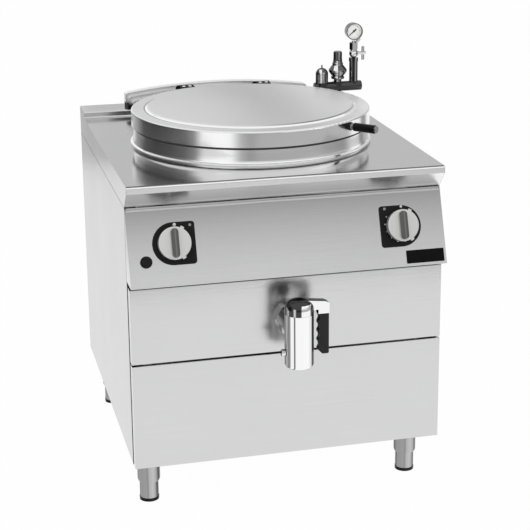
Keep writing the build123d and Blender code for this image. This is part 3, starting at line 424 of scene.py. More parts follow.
@dataclass(frozen=True)
class WorktopSteel(SheetSteel):
    """Polished top with painted shade: a painted shadow line at its front edge, and top and ends painted
    darker than the satin nose; satin ends with a seam.
    """

    nose_y: float = -350.5 * MM
    nose_top_z: float = 868.3 * MM
    end_x: float = 398.7 * MM
    # painted shade levels: the top and ends are painted darker than the nose
    top_share: float = 0.68
    end_share: float = 0.7
    nose_share: float = 1.0
    satin: float = 0.25
    seam_z: float = 830.0 * MM
    seam_share: float = 0.4
    # painted shadow line along the top's front edge
    edge_y: float = -380.0 * MM
    edge_share: float = 0.16

    def _nose(self, bench: NodeBench) -> Signal:
        """Return 1 on the nose's face."""
        x, y, z = bench.axes(bench.place())
        return (y < self.nose_y).both(z < self.nose_top_z)

    def _end(self, bench: NodeBench) -> Signal:
        """Return 1 on the two ends of the top."""
        x, y, z = bench.axes(bench.place())
        return abs(x) > self.end_x

    def _level(self, bench: NodeBench) -> Value:
        """Return the painted brightness of top, ends and nose, with the painted shadow line along the front
        edge.
        """
        x, y, z = bench.axes(bench.place())
        top = self.top_share + (y < self.edge_y) * (self.edge_share - self.top_share)
        level = top + self._nose(bench) * (self.nose_share - top)
        end = self.end_share * (1.0 - (z < self.seam_z) * (1.0 - self.seam_share))
        return level + self._end(bench) * (end - level)

    def _rough(self, bench: NodeBench) -> Value:
        """Return the roughness of top, ends and nose."""
        mask = self._nose(bench).either(self._end(bench))
        return self.roughness + mask * (self.satin - self.roughness)


@dataclass(frozen=True)
class HoodSteel(SheetSteel):
    """Stepped sheet whose ledges are painted darker, as painted shade of the steps."""

    front_y: float = 450.0 * MM
    step_depth: float = 20.0 * MM
    margin: float = 0.6 * MM
    ledge_share: float = 0.62

    def _level(self, bench: NodeBench) -> Value:
        """Return the brightness of the upright faces and the painted shade of the two ledges between them."""
        x, y, z = bench.axes(bench.place())
        off = abs(y - (self.front_y + self.step_depth))
        ledge = off.within(self.margin, self.step_depth - self.margin)
        return 1.0 - ledge * (1.0 - self.ledge_share)


@dataclass(frozen=True)
class LidSteel(SheetSteel):
    """Spun lid: satin top with a painted fan of shade and a painted lighter right part, polished skirt,
    rolled edge with painted shade, and step with painted shade lines beside it.

    Attributes:
        step: Inner and outer radius of the polished step.
        groove: Radii of the painted shade line inside the step, which shows at the front right.
        foot: Radii of the painted shade line outside the step, which shows at the left.
        fan_x: Where the painted fan of shade is darkest.
        lift: Share by which the top's right part is painted lighter.
        edge_depth: Depth of the painted shade line on the rolled edge.
        line_depth: Depth of the bright line above the skirt.
    """

    top_z: float = 960.0 * MM
    edge_radius: float = 314.8 * MM
    edge_share: float = 0.86
    step: tuple[float, float] = (275.0 * MM, 280.6 * MM)
    groove: tuple[float, float] = (270.8 * MM, 275.0 * MM)
    foot: tuple[float, float] = (280.0 * MM, 284.0 * MM)
    foot_share: float = 0.5
    groove_share: float = 0.62
    satin: float = 0.4
    bright: float = 0.1
    top_share: float = 0.9
    fan_x: float = 30.0 * MM
    fan_width: float = 110.0 * MM
    fan_share: float = 0.3
    fan_spread: float = 0.2
    lift: float = 0.24
    lift_run: tuple[float, float] = (100.0 * MM, 200.0 * MM)
    front_run: float = 200.0 * MM
    right_run: tuple[float, float] = (-50.0 * MM, 150.0 * MM)
    left_run: tuple[float, float] = (50.0 * MM, 120.0 * MM)
    edge_depth: float = 3.0 * MM
    line_depth: float = 5.0 * MM

    def _radius(self, bench: NodeBench) -> Signal:
        """Return the distance from the lid's axis."""
        x, y, z = bench.axes(bench.place())
        dy = y - self.centre[1]
        return (x * x + dy * dy).root()

    def _top(self, bench: NodeBench) -> Signal:
        """Return 1 on the satin top, 0 on skirt, rolled edge and step."""
        x, y, z = bench.axes(bench.place())
        radius = self._radius(bench)
        return (z > self.top_z).both(radius < self.edge_radius).both(1.0 - radius.within(*self.step))

    def _level(self, bench: NodeBench) -> Value:
        """Return the painted shade and light of the top and of the polished parts."""
        x, y, z = bench.axes(bench.place())
        radius = self._radius(bench)
        # painted shade: a fan of darkness across the top, and painted light on its right part
        off = (x - self.fan_x) / (self.fan_width + radius * self.fan_spread)
        fan = self.top_share * (1.0 - self.fan_share / (1.0 + off * off))
        fan = fan * (1.0 + x.ramp(*self.lift_run) * self.lift)
        front = (y * -1.0).ramp(-self.centre[1], self.front_run)
        inner = radius.within(*self.groove) * front * x.ramp(*self.right_run) * self.groove_share
        outer = radius.within(*self.foot) * (x * -1.0).ramp(*self.left_run) * self.foot_share
        shade = inner.either(outer)
        # painted shade on the rolled edge
        line = (z > self.top_z - self.edge_depth).both(radius > self.edge_radius)
        return self._top(bench) * (fan * (1.0 - shade) - 1.0) + 1.0 - line * (1.0 - self.edge_share)

    def _rough(self, bench: NodeBench) -> Value:
        """Return the roughness of the top, the skirt and the bright lines."""
        x, y, z = bench.axes(bench.place())
        line = (z > self.top_z - self.line_depth) * (self.bright - self.roughness)
        return self.roughness + line + self._top(bench) * (self.satin - self.bright)


@dataclass(frozen=True)
class PaintedReflectionChrome(PlainMetal):
    """Chrome with painted reflections: the upright dark and bright bands of a photographer's tent, painted
    into its colour by the way each surface faces.

    Attributes:
        bands: Painted reflection levels across the piece, from its left side at 0 to its right side at 1.
        roof_level: Painted reflection level of what faces up; 1 leaves the bands there too.
        roof_start: The upward share of the normal at which the roof starts.
        roof_rise: How quickly the roof takes over.
        window: Left, right, low and high limits of the painted highlight on the roof.
    """

    contrast: float = 0.01
    bands: Table = ((0.0, 0.04), (1.0, 0.04))
    roof_level: float = 1.0
    roof_start: float = 0.12
    roof_rise: float = 12.0
    window: tuple[float, float, float, float] = (0.0, 0.0, 0.0, 0.0)
    window_level: float = 0.95

    def _level(self, bench: NodeBench) -> Value:
        """Return the painted reflection's brightness from the way that the surface faces."""
        turn = bench.across()
        level = bench.table(turn, self.bands)
        if self.roof_level >= 1.0:
            return level
        x, y, z = bench.axes(bench.normal())
        roof = z.ramp(self.roof_start, 1.0 / self.roof_rise)
        # painted highlight: a bright window reflection on the roof
        glare = turn.within(*self.window[:2]).both(z.within(*self.window[2:]))
        cover = (glare * self.window_level).either(self.roof_level)
        return level + roof * (cover - level)


@dataclass(frozen=True)
class FootSteel(PaintedReflectionChrome):
    """Turned tube with painted reflections in upright bands and a black base."""

    base_z: float = 8.5 * MM
    base_level: float = 0.05

    def _level(self, bench: NodeBench) -> Value:
        """Return the brightness of the painted reflection bands and of the base."""
        x, y, z = bench.axes(bench.place())
        tube = self.base_level + (z > self.base_z) * (1.0 - self.base_level)
        return bench.table(bench.across(), self.bands) * tube


@dataclass(frozen=True)
class Moulding(Finish):
    """Moulded plastic, enamel or rubber."""

    colour: Colour = (0.02, 0.02, 0.02)
    roughness: float = 0.4
    pebble: float = 0.25
    pebble_size: float = 0.6 * MM
    metallic: float = 0.0
    specular: float = 0.3
    # glow is painted light: it makes the surface shine as if lit
    glow: float = 0.0
    wear_cells: float = 25.0
    wear_start: float = 0.35
    wear_light: float = 1.25
    wear_lift: float = 0.004
    wear_rough: float = 0.18
    pebble_rough: float = 0.3
    pebble_depth: float = 0.2

    def shader(self, bench: NodeBench) -> Signal:
        """Build the moulded surface."""
        place = bench.place()
        pebble = bench.noise(place, 1.0 / self.pebble_size, 2.0)
        wear = bench.noise(place, self.wear_cells, 4.0)
        light = tuple(min(1.0, c * self.wear_light + self.wear_lift) for c in self.colour)
        colour = bench.blend((wear - self.wear_start).clamped(), self.colour, light)
        grit = (pebble - 0.5) * (self.pebble_rough * self.pebble)
        rough = (self.roughness + (wear - 0.5) * self.wear_rough + grit).clamped()
        return bench.add("ShaderNodeBsdfPrincipled", {}, {
            "Base Color": colour, "Roughness": rough, "Metallic": self.metallic,
            "Specular IOR Level": self.specular,
            "Emission Color": self.colour, "Emission Strength": self.glow,
            "Normal": bench.bump(pebble, self.pebble_size * self.pebble_depth, self.pebble)})


@dataclass(frozen=True)
class KnobFinish(Finish):
    """Silver knob whose raised grip bar is dark with a paler line along it."""

    origin: Point = (0.0, 0.0, 0.0)
    outward: Point = (0.0, -1.0, 0.0)
    bar_lift: float = 24.5 * MM
    bar_half_width: float = 10.5 * MM
    line_half_width: float = 2.2 * MM
    cells: float = 900.0
    vary: float = 1.08
    roughness: float = 0.3
    bar_rough: float = 0.08
    fine_rough: float = 0.04
    metallic: float = 0.6
    coat: float = 0.15
    coat_rough: float = 0.12
    depth: float = 0.01 * MM
    face: Colour = (0.70, 0.70, 0.68)
    bar: Colour = (0.11, 0.11, 0.105)
    line: Colour = (0.24, 0.24, 0.23)

    def shader(self, bench: NodeBench) -> Signal:
        """Build the knob."""
        x, y, z = bench.axes(bench.place())
        lift = ((y - self.origin[1]) * self.outward[1] + (z - self.origin[2]) * self.outward[2])
        across = abs(x - self.origin[0])
        raised = (lift > self.bar_lift).both(across < self.bar_half_width)
        ridge = (1.0 - across / self.line_half_width).clamped() * raised
        fine = bench.noise(bench.place(), self.cells, 2.0)
        face = bench.blend(fine, self.face, tuple(c * self.vary for c in self.face))
        colour = bench.blend(raised, face, self.bar)
        colour = bench.blend(ridge, colour, self.line)
        rough = self.roughness + raised * self.bar_rough + (fine - 0.5) * self.fine_rough
        return bench.add("ShaderNodeBsdfPrincipled", {}, {
            "Base Color": colour, "Roughness": rough, "Metallic": self.metallic,
            "Coat Weight": self.coat, "Coat Roughness": self.coat_rough,
            "Normal": bench.bump(fine, self.depth, 0.2)})


@dataclass(frozen=True)
class Wool(Finish):
    """Mineral wool board."""

    colour: Colour = (0.62, 0.56, 0.38)
    cells: Point = (260.0, 260.0, 900.0)
    dark_share: float = 0.6
    depth: float = 2.0 * MM

    def shader(self, bench: NodeBench) -> Signal:
        """Build the fibres."""
        fibres = bench.noise(bench.scaled(bench.place(), self.cells), 1.0, 6.0, 0.7)
        colour = bench.blend(fibres, tuple(c * self.dark_share for c in self.colour), self.colour)
        return bench.add("ShaderNodeBsdfPrincipled", {}, {
            "Base Color": colour, "Roughness": 0.95, "Normal": bench.bump(fibres, self.depth, 0.8)})


@dataclass(frozen=True)
class ClearGlass(Finish):
    """Thin window glass."""

    cover: float = 0.07
    cover_vary: float = 0.04
    colour: Colour = (0.97, 0.98, 0.98)
    cells: float = 60.0
    smear_rough: float = 0.05

    def shader(self, bench: NodeBench) -> Signal:
        """Build the glass."""
        smear = bench.noise(bench.place(), self.cells, 3.0)
        return bench.add("ShaderNodeBsdfPrincipled", {}, {
            "Base Color": self.colour, "Roughness": smear * self.smear_rough,
            "Alpha": self.cover + (smear - 0.5) * self.cover_vary})


KETTLE_CENTRE = (0.0, 0.027, 0.0)
OUTWARD = (0.0, -0.93804, 0.34655)

# painted shadow: the front panels darken towards their top edge under the console
PANEL = PaintedEdgeShadowSheet("brushed_panel_steel", tone=0.67, roughness=0.2, relief=0.14)
# painted shade: the console's colour darkens upwards towards the nose's overhang
CONSOLE = PaintedShadeSheet("brushed_console_steel", tone=0.74, roughness=0.24, relief=0.14)
LIP = SheetSteel("satin_lip_steel", tone=0.52, roughness=0.24, relief=0.0)
# painted shadow: the side panels darken along their front edge
SIDE = PaintedEdgeShadowSheet("brushed_side_steel", tone=0.6, roughness=0.24, grain=Grain.ALONG_Y, relief=0.14,
                  axis=(0.0, -1.0, 0.0), edge=349.0 * MM, depth=7.0 * MM, share=0.2)
WORKTOP = WorktopSteel("polished_worktop_steel", tone=0.9, roughness=0.13, relief=0.0,
                       seam_z=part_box("side_panel_left")[1].z + 2.0 * MM)
HOOD = HoodSteel("brushed_hood_steel", tone=0.96, roughness=0.36, relief=0.0, contrast=0.03,
                 front_y=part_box("flue_hood")[0].y)
BARE = PlainMetal("mill_finish_steel", tone=0.42, roughness=0.42)
NECK = SheetSteel("spun_kettle_steel", tone=0.88, roughness=0.13, grain=Grain.SPUN, relief=0.0,
                  line_pitch=2.0 * MM, contrast=0.04, centre=KETTLE_CENTRE)
LID = LidSteel("spun_lid_steel", tone=0.9, roughness=0.15, grain=Grain.SPUN, relief=0.0,
               line_pitch=4.0 * MM, contrast=0.02, centre=KETTLE_CENTRE)
CHROME = PlainMetal("bright_chrome", tone=0.88, roughness=0.03, contrast=0.02)
# painted reflections: these chromes carry dark and bright bands and a bright window painted by the way each
# surface faces
TAP_CHROME = PaintedReflectionChrome(
    "tap_chrome_painted_reflections", tone=0.95, roughness=0.03,
    bands=((0.0, 0.03), (0.03, 0.04), (0.05, 0.6), (0.11, 0.55), (0.14, 0.22), (0.19, 0.3), (0.22, 0.95),
           (0.31, 0.95), (0.33, 0.16), (0.355, 0.16), (0.385, 0.97), (0.8, 1.0), (0.9, 0.78), (0.93, 0.08),
           (1.0, 0.02)),
    roof_level=0.07, window=(0.55, 0.86, 0.28, 0.66))
CAP_CHROME = PaintedReflectionChrome(
    "domed_chrome_painted_reflections", tone=0.95, roughness=0.03,
    bands=((0.0, 0.03), (0.06, 0.05), (0.1, 0.5), (0.14, 0.5), (0.17, 0.07), (0.3, 0.06), (0.33, 0.6),
           (0.37, 0.6), (0.4, 0.06), (0.56, 0.06), (0.6, 0.95), (0.86, 0.95), (0.9, 0.06), (1.0, 0.03)),
    roof_level=0.06, roof_start=0.3, window=(0.58, 0.88, 0.1, 0.64))
VALVE_CHROME = PaintedReflectionChrome(
    "valve_chrome_painted_reflections", tone=0.9, roughness=0.04,
    bands=((0.0, 0.02), (0.12, 0.03), (0.2, 0.3), (0.3, 0.08), (0.4, 0.75), (0.48, 0.85), (0.54, 0.12),
           (0.62, 0.7), (0.7, 0.35), (0.78, 0.04), (0.88, 0.25), (1.0, 0.02)),
    roof_level=0.12, roof_start=0.3, window=(0.3, 0.5, 0.3, 0.8))
COLUMN_CHROME = PaintedReflectionChrome(
    "column_chrome_painted_reflections", tone=0.9, roughness=0.05,
    bands=((0.0, 0.02), (0.1, 0.03), (0.2, 0.45), (0.28, 0.3), (0.36, 0.03), (0.6, 0.03), (0.7, 0.6),
           (0.78, 0.5), (0.86, 0.05), (1.0, 0.02)),
    roof_level=0.2, roof_start=0.3)
COCK_CHROME = PaintedReflectionChrome(
    "cock_chrome_painted_reflections", tone=0.92, roughness=0.04,
    bands=((0.0, 0.03), (0.12, 0.06), (0.28, 0.75), (0.5, 1.0), (0.74, 0.8), (0.88, 0.08), (1.0, 0.03)),
    roof_level=0.45, roof_start=0.4)
# a darker chrome tone with painted reflections in bands
DARK_CHROME = PaintedReflectionChrome(
    "chrome_smoked_painted_reflections", tone=0.5, roughness=0.08, contrast=0.02,
    bands=((0.0, 0.03), (0.15, 0.05), (0.3, 0.3), (0.42, 0.07), (0.55, 0.28), (0.7, 0.55), (0.8, 0.06),
           (1.0, 0.03)),
    roof_level=0.3, roof_start=0.5)
# painted dark reflections: chrome given a near-black or dark colour that stands in for the dark it mirrors
PIPE_CHROME = PlainMetal("pipe_chrome_painted_dark", tone=0.07, roughness=0.12)
CASE_CHROME = PlainMetal("case_chrome_painted_dark", tone=0.22, roughness=0.1)
BRASS = PlainMetal("turned_brass", tone=0.6, roughness=0.2, tint=(1.0, 0.78, 0.42))
GAS_TUBE = PlainMetal("drawn_gas_tube", tone=0.5, roughness=0.3)
VALVE_ALLOY = PlainMetal("cast_valve_alloy", tone=0.55, roughness=0.5, contrast=0.15)
# painted reflections in upright bands on the feet and sleeves; the black base is their own colour
FOOT_STEEL = FootSteel(
    "turned_foot_steel", tone=0.66, roughness=0.2, grain=Grain.ALONG_Z, contrast=0.07,
    bands=((0.0, 0.1), (0.04, 0.14), (0.1, 0.45), (0.4, 0.5), (0.5, 0.42), (0.56, 0.68), (0.74, 0.82),
           (0.86, 0.6), (0.93, 0.12), (1.0, 0.06)))
FRAME_PAINT = Moulding("grey_frame_paint", colour=(0.08, 0.085, 0.09), roughness=0.45, pebble=0.3)
CAST = Moulding("raw_casting", colour=(0.035, 0.033, 0.032), roughness=0.75, pebble=0.9,
                pebble_size=1.2 * MM, metallic=0.5)
BLACK_MATTE = Moulding("matte_black_moulding", colour=(0.008, 0.008, 0.009), roughness=0.5, specular=0.16)
BLACK_GLOSS = Moulding("gloss_black_grip", colour=(0.003, 0.003, 0.003), roughness=0.2, pebble=0.03,
                       specular=0.12)
BLACK_ENAMEL = Moulding("black_enamel", colour=(0.006, 0.006, 0.006), roughness=0.5, pebble=0.1,
                        specular=0.04)
RUBBER = Moulding("grey_seal_rubber", colour=(0.05, 0.05, 0.05), roughness=0.6, pebble=0.4)
WHITE_PRINT = Moulding("white_print", colour=(0.86, 0.86, 0.84), roughness=0.4, pebble=0.05)
GREY_PRINT = Moulding("grey_print", colour=(0.36, 0.36, 0.36), roughness=0.4, pebble=0.05)
GRIP_BLACK = Moulding("black_grip", colour=(0.026, 0.026, 0.026), roughness=0.5, specular=0.16)
# painted light: the dial glows to stand in for the light that falls on it
DIAL_WHITE = Moulding("white_dial_enamel", colour=(0.9, 0.9, 0.89), roughness=0.4, pebble=0.05, glow=0.4)
PLATE_BLACK = Moulding("black_plate", colour=(0.002, 0.002, 0.002), roughness=0.25, pebble=0.03,
                       specular=0.1)
WOOL = Wool("mineral_wool")
GLASS = ClearGlass("gauge_window_glass")


# Meshes


SHARP_ABOVE = math.radians(35.0)
ROUND_ABOVE = math.radians(30.0)


class Workshop:
    """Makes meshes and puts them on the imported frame."""

    def __init__(self) -> None:
        """Start with no pieces."""
        self.made: list[str] = []

    def piece(self, name: str, mesh: bmesh.types.BMesh, finish: Finish, slot: str, body: str = "pan",
              smooth: bool = True) -> bpy.types.Object:
        """Turn a mesh into a named piece that rides on a body.

        Args:
            name: The piece's name.
            mesh: Its mesh, in the row frame.
            finish: Its finish.
            slot: The record's material slot; not used.
            body: The body that it rides on.
            smooth: Whether its faces are shaded smooth.

        Returns:
            The new object.
        """
        data = bpy.data.meshes.new(name)
        bmesh.ops.recalc_face_normals(mesh, faces=mesh.faces)
        mesh.to_mesh(data)
        mesh.free()
        data.materials.append(finish.material())
        made = bpy.data.objects.new(name, data)
        bpy.context.scene.collection.objects.link(made)
        if smooth:
            data.shade_smooth()
            data.set_sharp_from_angle(angle=SHARP_ABOVE)
        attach(made, body)
        self.made.append(name)
        LOG.info("piece %s: %d faces on %s", name, len(data.polygons), body)
        return made

    @staticmethod
    def dress(finish: Finish, *nodes: str) -> None:
        """Give CAD nodes a finish."""
        for name in nodes:
            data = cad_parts[name].data
            data.materials.clear()
            data.materials.append(finish.material())
            LOG.info("node %s: %s", name, finish.name)

    @staticmethod
    def soften(made: bpy.types.Object, width: float) -> None:
        """Round a piece's sharp edges by so many metres."""
        bevel = made.modifiers.new("soft edges", "BEVEL")
        bevel.width = width
        bevel.segments = 3
        bevel.limit_method = "ANGLE"
        bevel.angle_limit = ROUND_ABOVE

    def turned(self, name: str, node: str, places: Sequence[Matrix], profile: Table, finish: Finish,
               slot: str, body: str = "pan", sides: int = 96, rounding: float = 0.0) -> None:
        """Make a turned piece in place of a CAD node.

        Args:
            name: The piece's name.
            node: The CAD node that it replaces.
            places: Axis and base of each turned solid in it.
            profile: Radius and height of each ring.
            finish: Its finish.
            slot: The record's material slot, passed on to piece, which does not use it.
            body: The body that it rides on.
            sides: Number of sides.
            rounding: Width of its rounded edges.
        """
        mesh = bmesh.new()
        for place in places:
            self.lathe(mesh, place, profile, sides)
        made = self.piece(name, mesh, finish, slot, body)
        if rounding:
            self.soften(made, rounding)
        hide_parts(node)

    @staticmethod
    def ring(mesh: bmesh.types.BMesh, place: Matrix, radius: float, height: float,
             sides: int) -> list[bmesh.types.BMVert]:
        """Add one ring of corners about the place's Z axis."""
        return [mesh.verts.new(place @ Vector((radius * math.cos(a), radius * math.sin(a), height)))
                for a in (math.tau * i / sides for i in range(sides))]

    @staticmethod
    def close(mesh: bmesh.types.BMesh, loops: Sequence[Sequence[bmesh.types.BMVert]]) -> None:
        """Join equal loops into a solid with flat ends."""
        count = len(loops[0])
        for lower, upper in zip(loops, loops[1:]):
            for i in range(count):
                j = (i + 1) % count
                mesh.faces.new((lower[i], lower[j], upper[j], upper[i]))
        mesh.faces.new(loops[-1])
        mesh.faces.new(loops[0][::-1])

    def disc(self, mesh: bmesh.types.BMesh, place: Matrix, radius: float, height: float, bevel: float,
             sides: int = 24) -> None:
        """Add a low disc with a rounded rim, its base on the place's XY plane.

        Args:
            mesh: The mesh to add to.
            place: Where the disc stands.
            radius: Its radius.
            height: Its height.
            bevel: Width of the rounded rim.
            sides: Number of sides.
        """
        rings = [(radius, 0.0), (radius, height - bevel), (radius - 0.3 * bevel, height - 0.3 * bevel),
                 (radius - bevel, height)]
        self.close(mesh, [self.ring(mesh, place, r, z, sides) for r, z in rings])

    def slab(self, mesh: bmesh.types.BMesh, place: Matrix, size: Point, corner: float, bevel: float,
             steps: int = 6) -> None:
        """Add a plate with rounded corners and a softened upper edge.

        Args:
            mesh: The mesh to add to.
            place: Plane of its back, centred.
            size: Its length, height and thickness.
            corner: Radius of its corners.
            bevel: Width of its softened edge.
            steps: Facets in each corner.
        """
        def outline(inset: float, z: float) -> list[bmesh.types.BMVert]:
            """Return one loop of the plate's outline."""
            half_x = size[0] / 2 - corner
            half_y = size[1] / 2 - corner
            radius = corner - inset
            loop = []
            for turn, (sx, sy) in enumerate(((1, 1), (-1, 1), (-1, -1), (1, -1))):
                for step in range(steps + 1):
                    a = math.pi / 2 * (turn + step / steps)
                    loop.append(mesh.verts.new(place @ Vector((
                        sx * half_x + radius * math.cos(a), sy * half_y + radius * math.sin(a), z))))
            return loop

        self.close(mesh, [outline(0.0, 0.0), outline(0.0, size[2] - bevel), outline(bevel, size[2])])

    def lathe(self, mesh: bmesh.types.BMesh, place: Matrix, profile: Table, sides: int) -> None:
        """Add a turned shape.

        Args:
            mesh: The mesh to add to.
            place: Its axis and base.
            profile: Radius and height of each ring; a radius of 0 closes it.
            sides: Number of sides.
        """
        loops = [self.ring(mesh, place, r, z, sides if r > 0.0 else 1) for r, z in profile]
        for lower, upper in zip(loops, loops[1:]):
            for i in range(sides):
                j = (i + 1) % sides
                if len(lower) == 1:
                    mesh.faces.new((lower[0], upper[j], upper[i]))
                elif len(upper) == 1:
                    mesh.faces.new((lower[i], lower[j], upper[0]))
                else:
                    mesh.faces.new((lower[i], lower[j], upper[j], upper[i]))


# Sub-assemblies

FEET = ("foot_front_left", "foot_front_right", "foot_rear_left", "foot_rear_right")
FACING_FRONT = Matrix.Rotation(math.radians(90.0), 4, "X")


@dataclass
class Cabinet:
    """Worktop, panels, frame and feet."""

    shop: Workshop
    bend: float = 1.4 * MM
    joint: float = 1.4 * MM
    bend_steps: int = 5
    tap_z: float = 505.0 * MM
    tap_hole: float = 29.0 * MM
    hole_sides: int = 48
    sleeve_radius: float = 29.4 * MM
    sleeve_bottom: float = 53.0 * MM
    sleeve_top: float = 139.9 * MM
    sleeve_lip: Table = ((2.2, 2.6), (2.2, 0.0), (2.0, 0.0), (0.6, 3.4), (0.0, 7.8))

    def build(self) -> None:
        """Dress the cabinet's nodes and make its folded fronts and sleeves."""
        self.shop.dress(WORKTOP, "worktop")
        self.shop.dress(SIDE, "side_panel_left", "side_panel_right")
        self.shop.dress(CONSOLE, "control_console")
        self.shop.dress(BARE, "rear_panel")
        self.shop.dress(FRAME_PAINT, "chassis")
        self.shop.dress(FOOT_STEEL, *FEET)
        self._front("folded_drain_panel", "drain_panel", (self.joint, 0.0), self.tap_z)
        self._front("folded_lower_panel", "lower_front_panel", (0.0, self.joint))
        self._sleeves()

    def _front(self, name: str, node: str, trim: tuple[float, float], tap_z: Optional[float] = None) -> None:
        """Make a front panel with rounded bends in place of its CAD node.

        Args:
            name: The piece's name.
            node: The CAD node that it replaces.
            trim: What comes off its bottom and its top, for the joint's shadow.
            tap_z: Height of the hole for the tap, if it has one.
        """
        low, high = (Vector(corner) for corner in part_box(node))
        low.z += trim[0]
        high.z -= trim[1]
        mesh = bmesh.new()
        loops = []
        rows = [(self.bend * (1.0 - math.sin(a)), self.bend * (1.0 - math.cos(a)))
                for a in (math.pi / 2 * i / self.bend_steps for i in range(self.bend_steps + 1))]
        rows.append((0.0, high.y - low.y))
        for inset, depth in rows:
            y = low.y + depth
            corners = ((low.x + inset, low.z + inset), (high.x - inset, low.z + inset),
                       (high.x - inset, high.z - inset), (low.x + inset, high.z - inset))
            loops.append([mesh.verts.new((x, y, z)) for x, z in corners])
        for front, back in zip(loops, loops[1:]):
            for i in range(4):
                j = (i + 1) % 4
                mesh.faces.new((front[i], front[j], back[j], back[i]))
        rim = [mesh.edges.get((loops[0][i], loops[0][(i + 1) % 4])) for i in range(4)]
        if tap_z is not None:
            sides = self.hole_sides
            ring = [mesh.verts.new((self.tap_hole * math.cos(a), low.y, tap_z + self.tap_hole * math.sin(a)))
                    for a in (math.tau * i / sides for i in range(sides))]
            rim += [mesh.edges.new((ring[i], ring[(i + 1) % sides])) for i in range(sides)]
        bmesh.ops.triangle_fill(mesh, use_beauty=True, use_dissolve=False, edges=rim, normal=(0.0, -1.0, 0.0))
        made = self.shop.piece(name, mesh, PANEL, "steel_panel")
        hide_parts(node)

    def _sleeves(self) -> None:
        """Make the four foot sleeves, each with a rolled lower lip given as inset and rise."""
        places = []
        for node in FEET:
            low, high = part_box(node)
            places.append(Matrix.Translation(Vector(((low.x + high.x) / 2, (low.y + high.y) / 2, 0.0))))
        profile = [(self.sleeve_radius - inset * MM, self.sleeve_bottom + rise * MM)
                   for inset, rise in self.sleeve_lip]
        profile.append((self.sleeve_radius, self.sleeve_top))
        self.shop.turned("foot_sleeve_tubes", "foot_sleeves", places, profile, FOOT_STEEL, "steel_panel",
                         sides=64)


@dataclass
class Console:
    """Bezels with their marks, knobs, igniter and the bare plate."""

    shop: Workshop
    front_y: float = -419.5 * MM
    bottom_z: float = 625.0 * MM
    bezel_top: float = 2.0 * MM
    knob_x: float = 288.0 * MM
    knob_s: float = 103.0 * MM
    plate_centre: tuple[float, float] = (344.5 * MM, 23.5 * MM)
    plate_size: Point = (99.0 * MM, 33.0 * MM, 1.2 * MM)
    plate_rounding: tuple[float, float] = (2.0 * MM, 0.4 * MM)
    lip_z: tuple[float, float] = (804.9 * MM, 809.2 * MM)
    lip_y: float = -352.4 * MM
    lip_s: tuple[float, float] = (186.0 * MM, 191.0 * MM)
    lip_half_length: float = 397.0 * MM
    lip_thickness: tuple[float, float] = (1.8 * MM, 0.8 * MM)
    lip_rounding: tuple[float, float] = (0.6 * MM, 0.3 * MM)
    mark_height: float = 0.35 * MM
    mark_bevel: float = 0.15 * MM
    left_marks: tuple = ((-282.9, 148.6, 4.0, True), (-245.1, 145.5, 3.4, False))
    right_marks: tuple = ((292.2, 151.3, 3.2, True), (248.7, 148.1, 3.4, False), (251.9, 127.8, 2.2, False),
                          (246.7, 109.3, 1.6, True), (250.2, 91.3, 2.2, False), (260.4, 74.9, 1.6, True),
                          (276.3, 65.2, 2.2, True), (295.0, 63.2, 1.4, True))

    def plane(self, x: float, s: float, lift: float) -> Matrix:
        """Return a plane on the slanted face, whose Z points out of it.

        Args:
            x: Place across.
            s: Place up the slope.
            lift: Distance off the sheet.

        Returns:
            The plane's matrix.
        """
        out = Vector(OUTWARD)
        up = Vector((0.0, out.z, -out.y))
        origin = Vector((x, self.front_y, self.bottom_z)) + up * s + out * lift
        basis = Matrix((Vector((1.0, 0.0, 0.0)), up, out)).transposed().to_4x4()
        return Matrix.Translation(origin) @ basis

    def build(self) -> None:
        """Dress the controls and add their printed marks."""
        self.shop.dress(BLACK_MATTE, "bezel_left", "bezel_right", "igniter_housing", "igniter_button",
                        "energy_regulator")
        for side, node in ((-1, "gas_knob"), (1, "regulator_knob")):
            origin = self.plane(side * self.knob_x, self.knob_s, 0.0).translation
            self.shop.dress(KnobFinish(f"{node}_finish", origin=tuple(origin), outward=OUTWARD), node)
        self.shop.dress(BARE, "gas_spindle", "regulator_spindle")
        self._marks("left_bezel_marks", self.left_marks)
        self._marks("right_bezel_marks", self.right_marks)
        self._plate()
        self._lip()

    def _marks(self, name: str, marks: Iterable[tuple[float, float, float, bool]]) -> None:
        """Add one bezel's printed dots.

        Args:
            name: Name for the pieces.
            marks: Place across, place up the slope, radius, and whether the dot is white.
        """
        for white in (True, False):
            mesh = bmesh.new()
            for x, s, radius, is_white in marks:
                if is_white == white:
                    place = self.plane(x * MM, s * MM, self.bezel_top)
                    self.shop.disc(mesh, place, radius * MM, self.mark_height, self.mark_bevel)
            finish = WHITE_PRINT if white else GREY_PRINT
            self.shop.piece(f"{name}_{'white' if white else 'grey'}", mesh, finish, "black_plastic")

    def _lip(self) -> None:
        """Add the folded lip that closes the joint between console and nose."""
        mesh = bmesh.new()
        upright = Matrix.Translation(Vector((0.0, self.lip_y, sum(self.lip_z) / 2))) @ FACING_FRONT
        slanted = self.plane(0.0, sum(self.lip_s) / 2, 0.0)
        for place, (low, high), thick in ((upright, self.lip_z, self.lip_thickness[0]),
                                          (slanted, self.lip_s, self.lip_thickness[1])):
            size = (2.0 * self.lip_half_length, high - low, thick)
            self.shop.slab(mesh, place, size, *self.lip_rounding, steps=3)
        self.shop.piece("console_top_lip", mesh, LIP, "steel_panel")

    def _plate(self) -> None:
        """Add the bare plate at the console's lower right corner."""
        mesh = bmesh.new()
        place = self.plane(*self.plate_centre, 0.0)
        self.shop.slab(mesh, place, self.plate_size, *self.plate_rounding)
        self.shop.piece("bare_plate", mesh, PLATE_BLACK, "gloss_black")


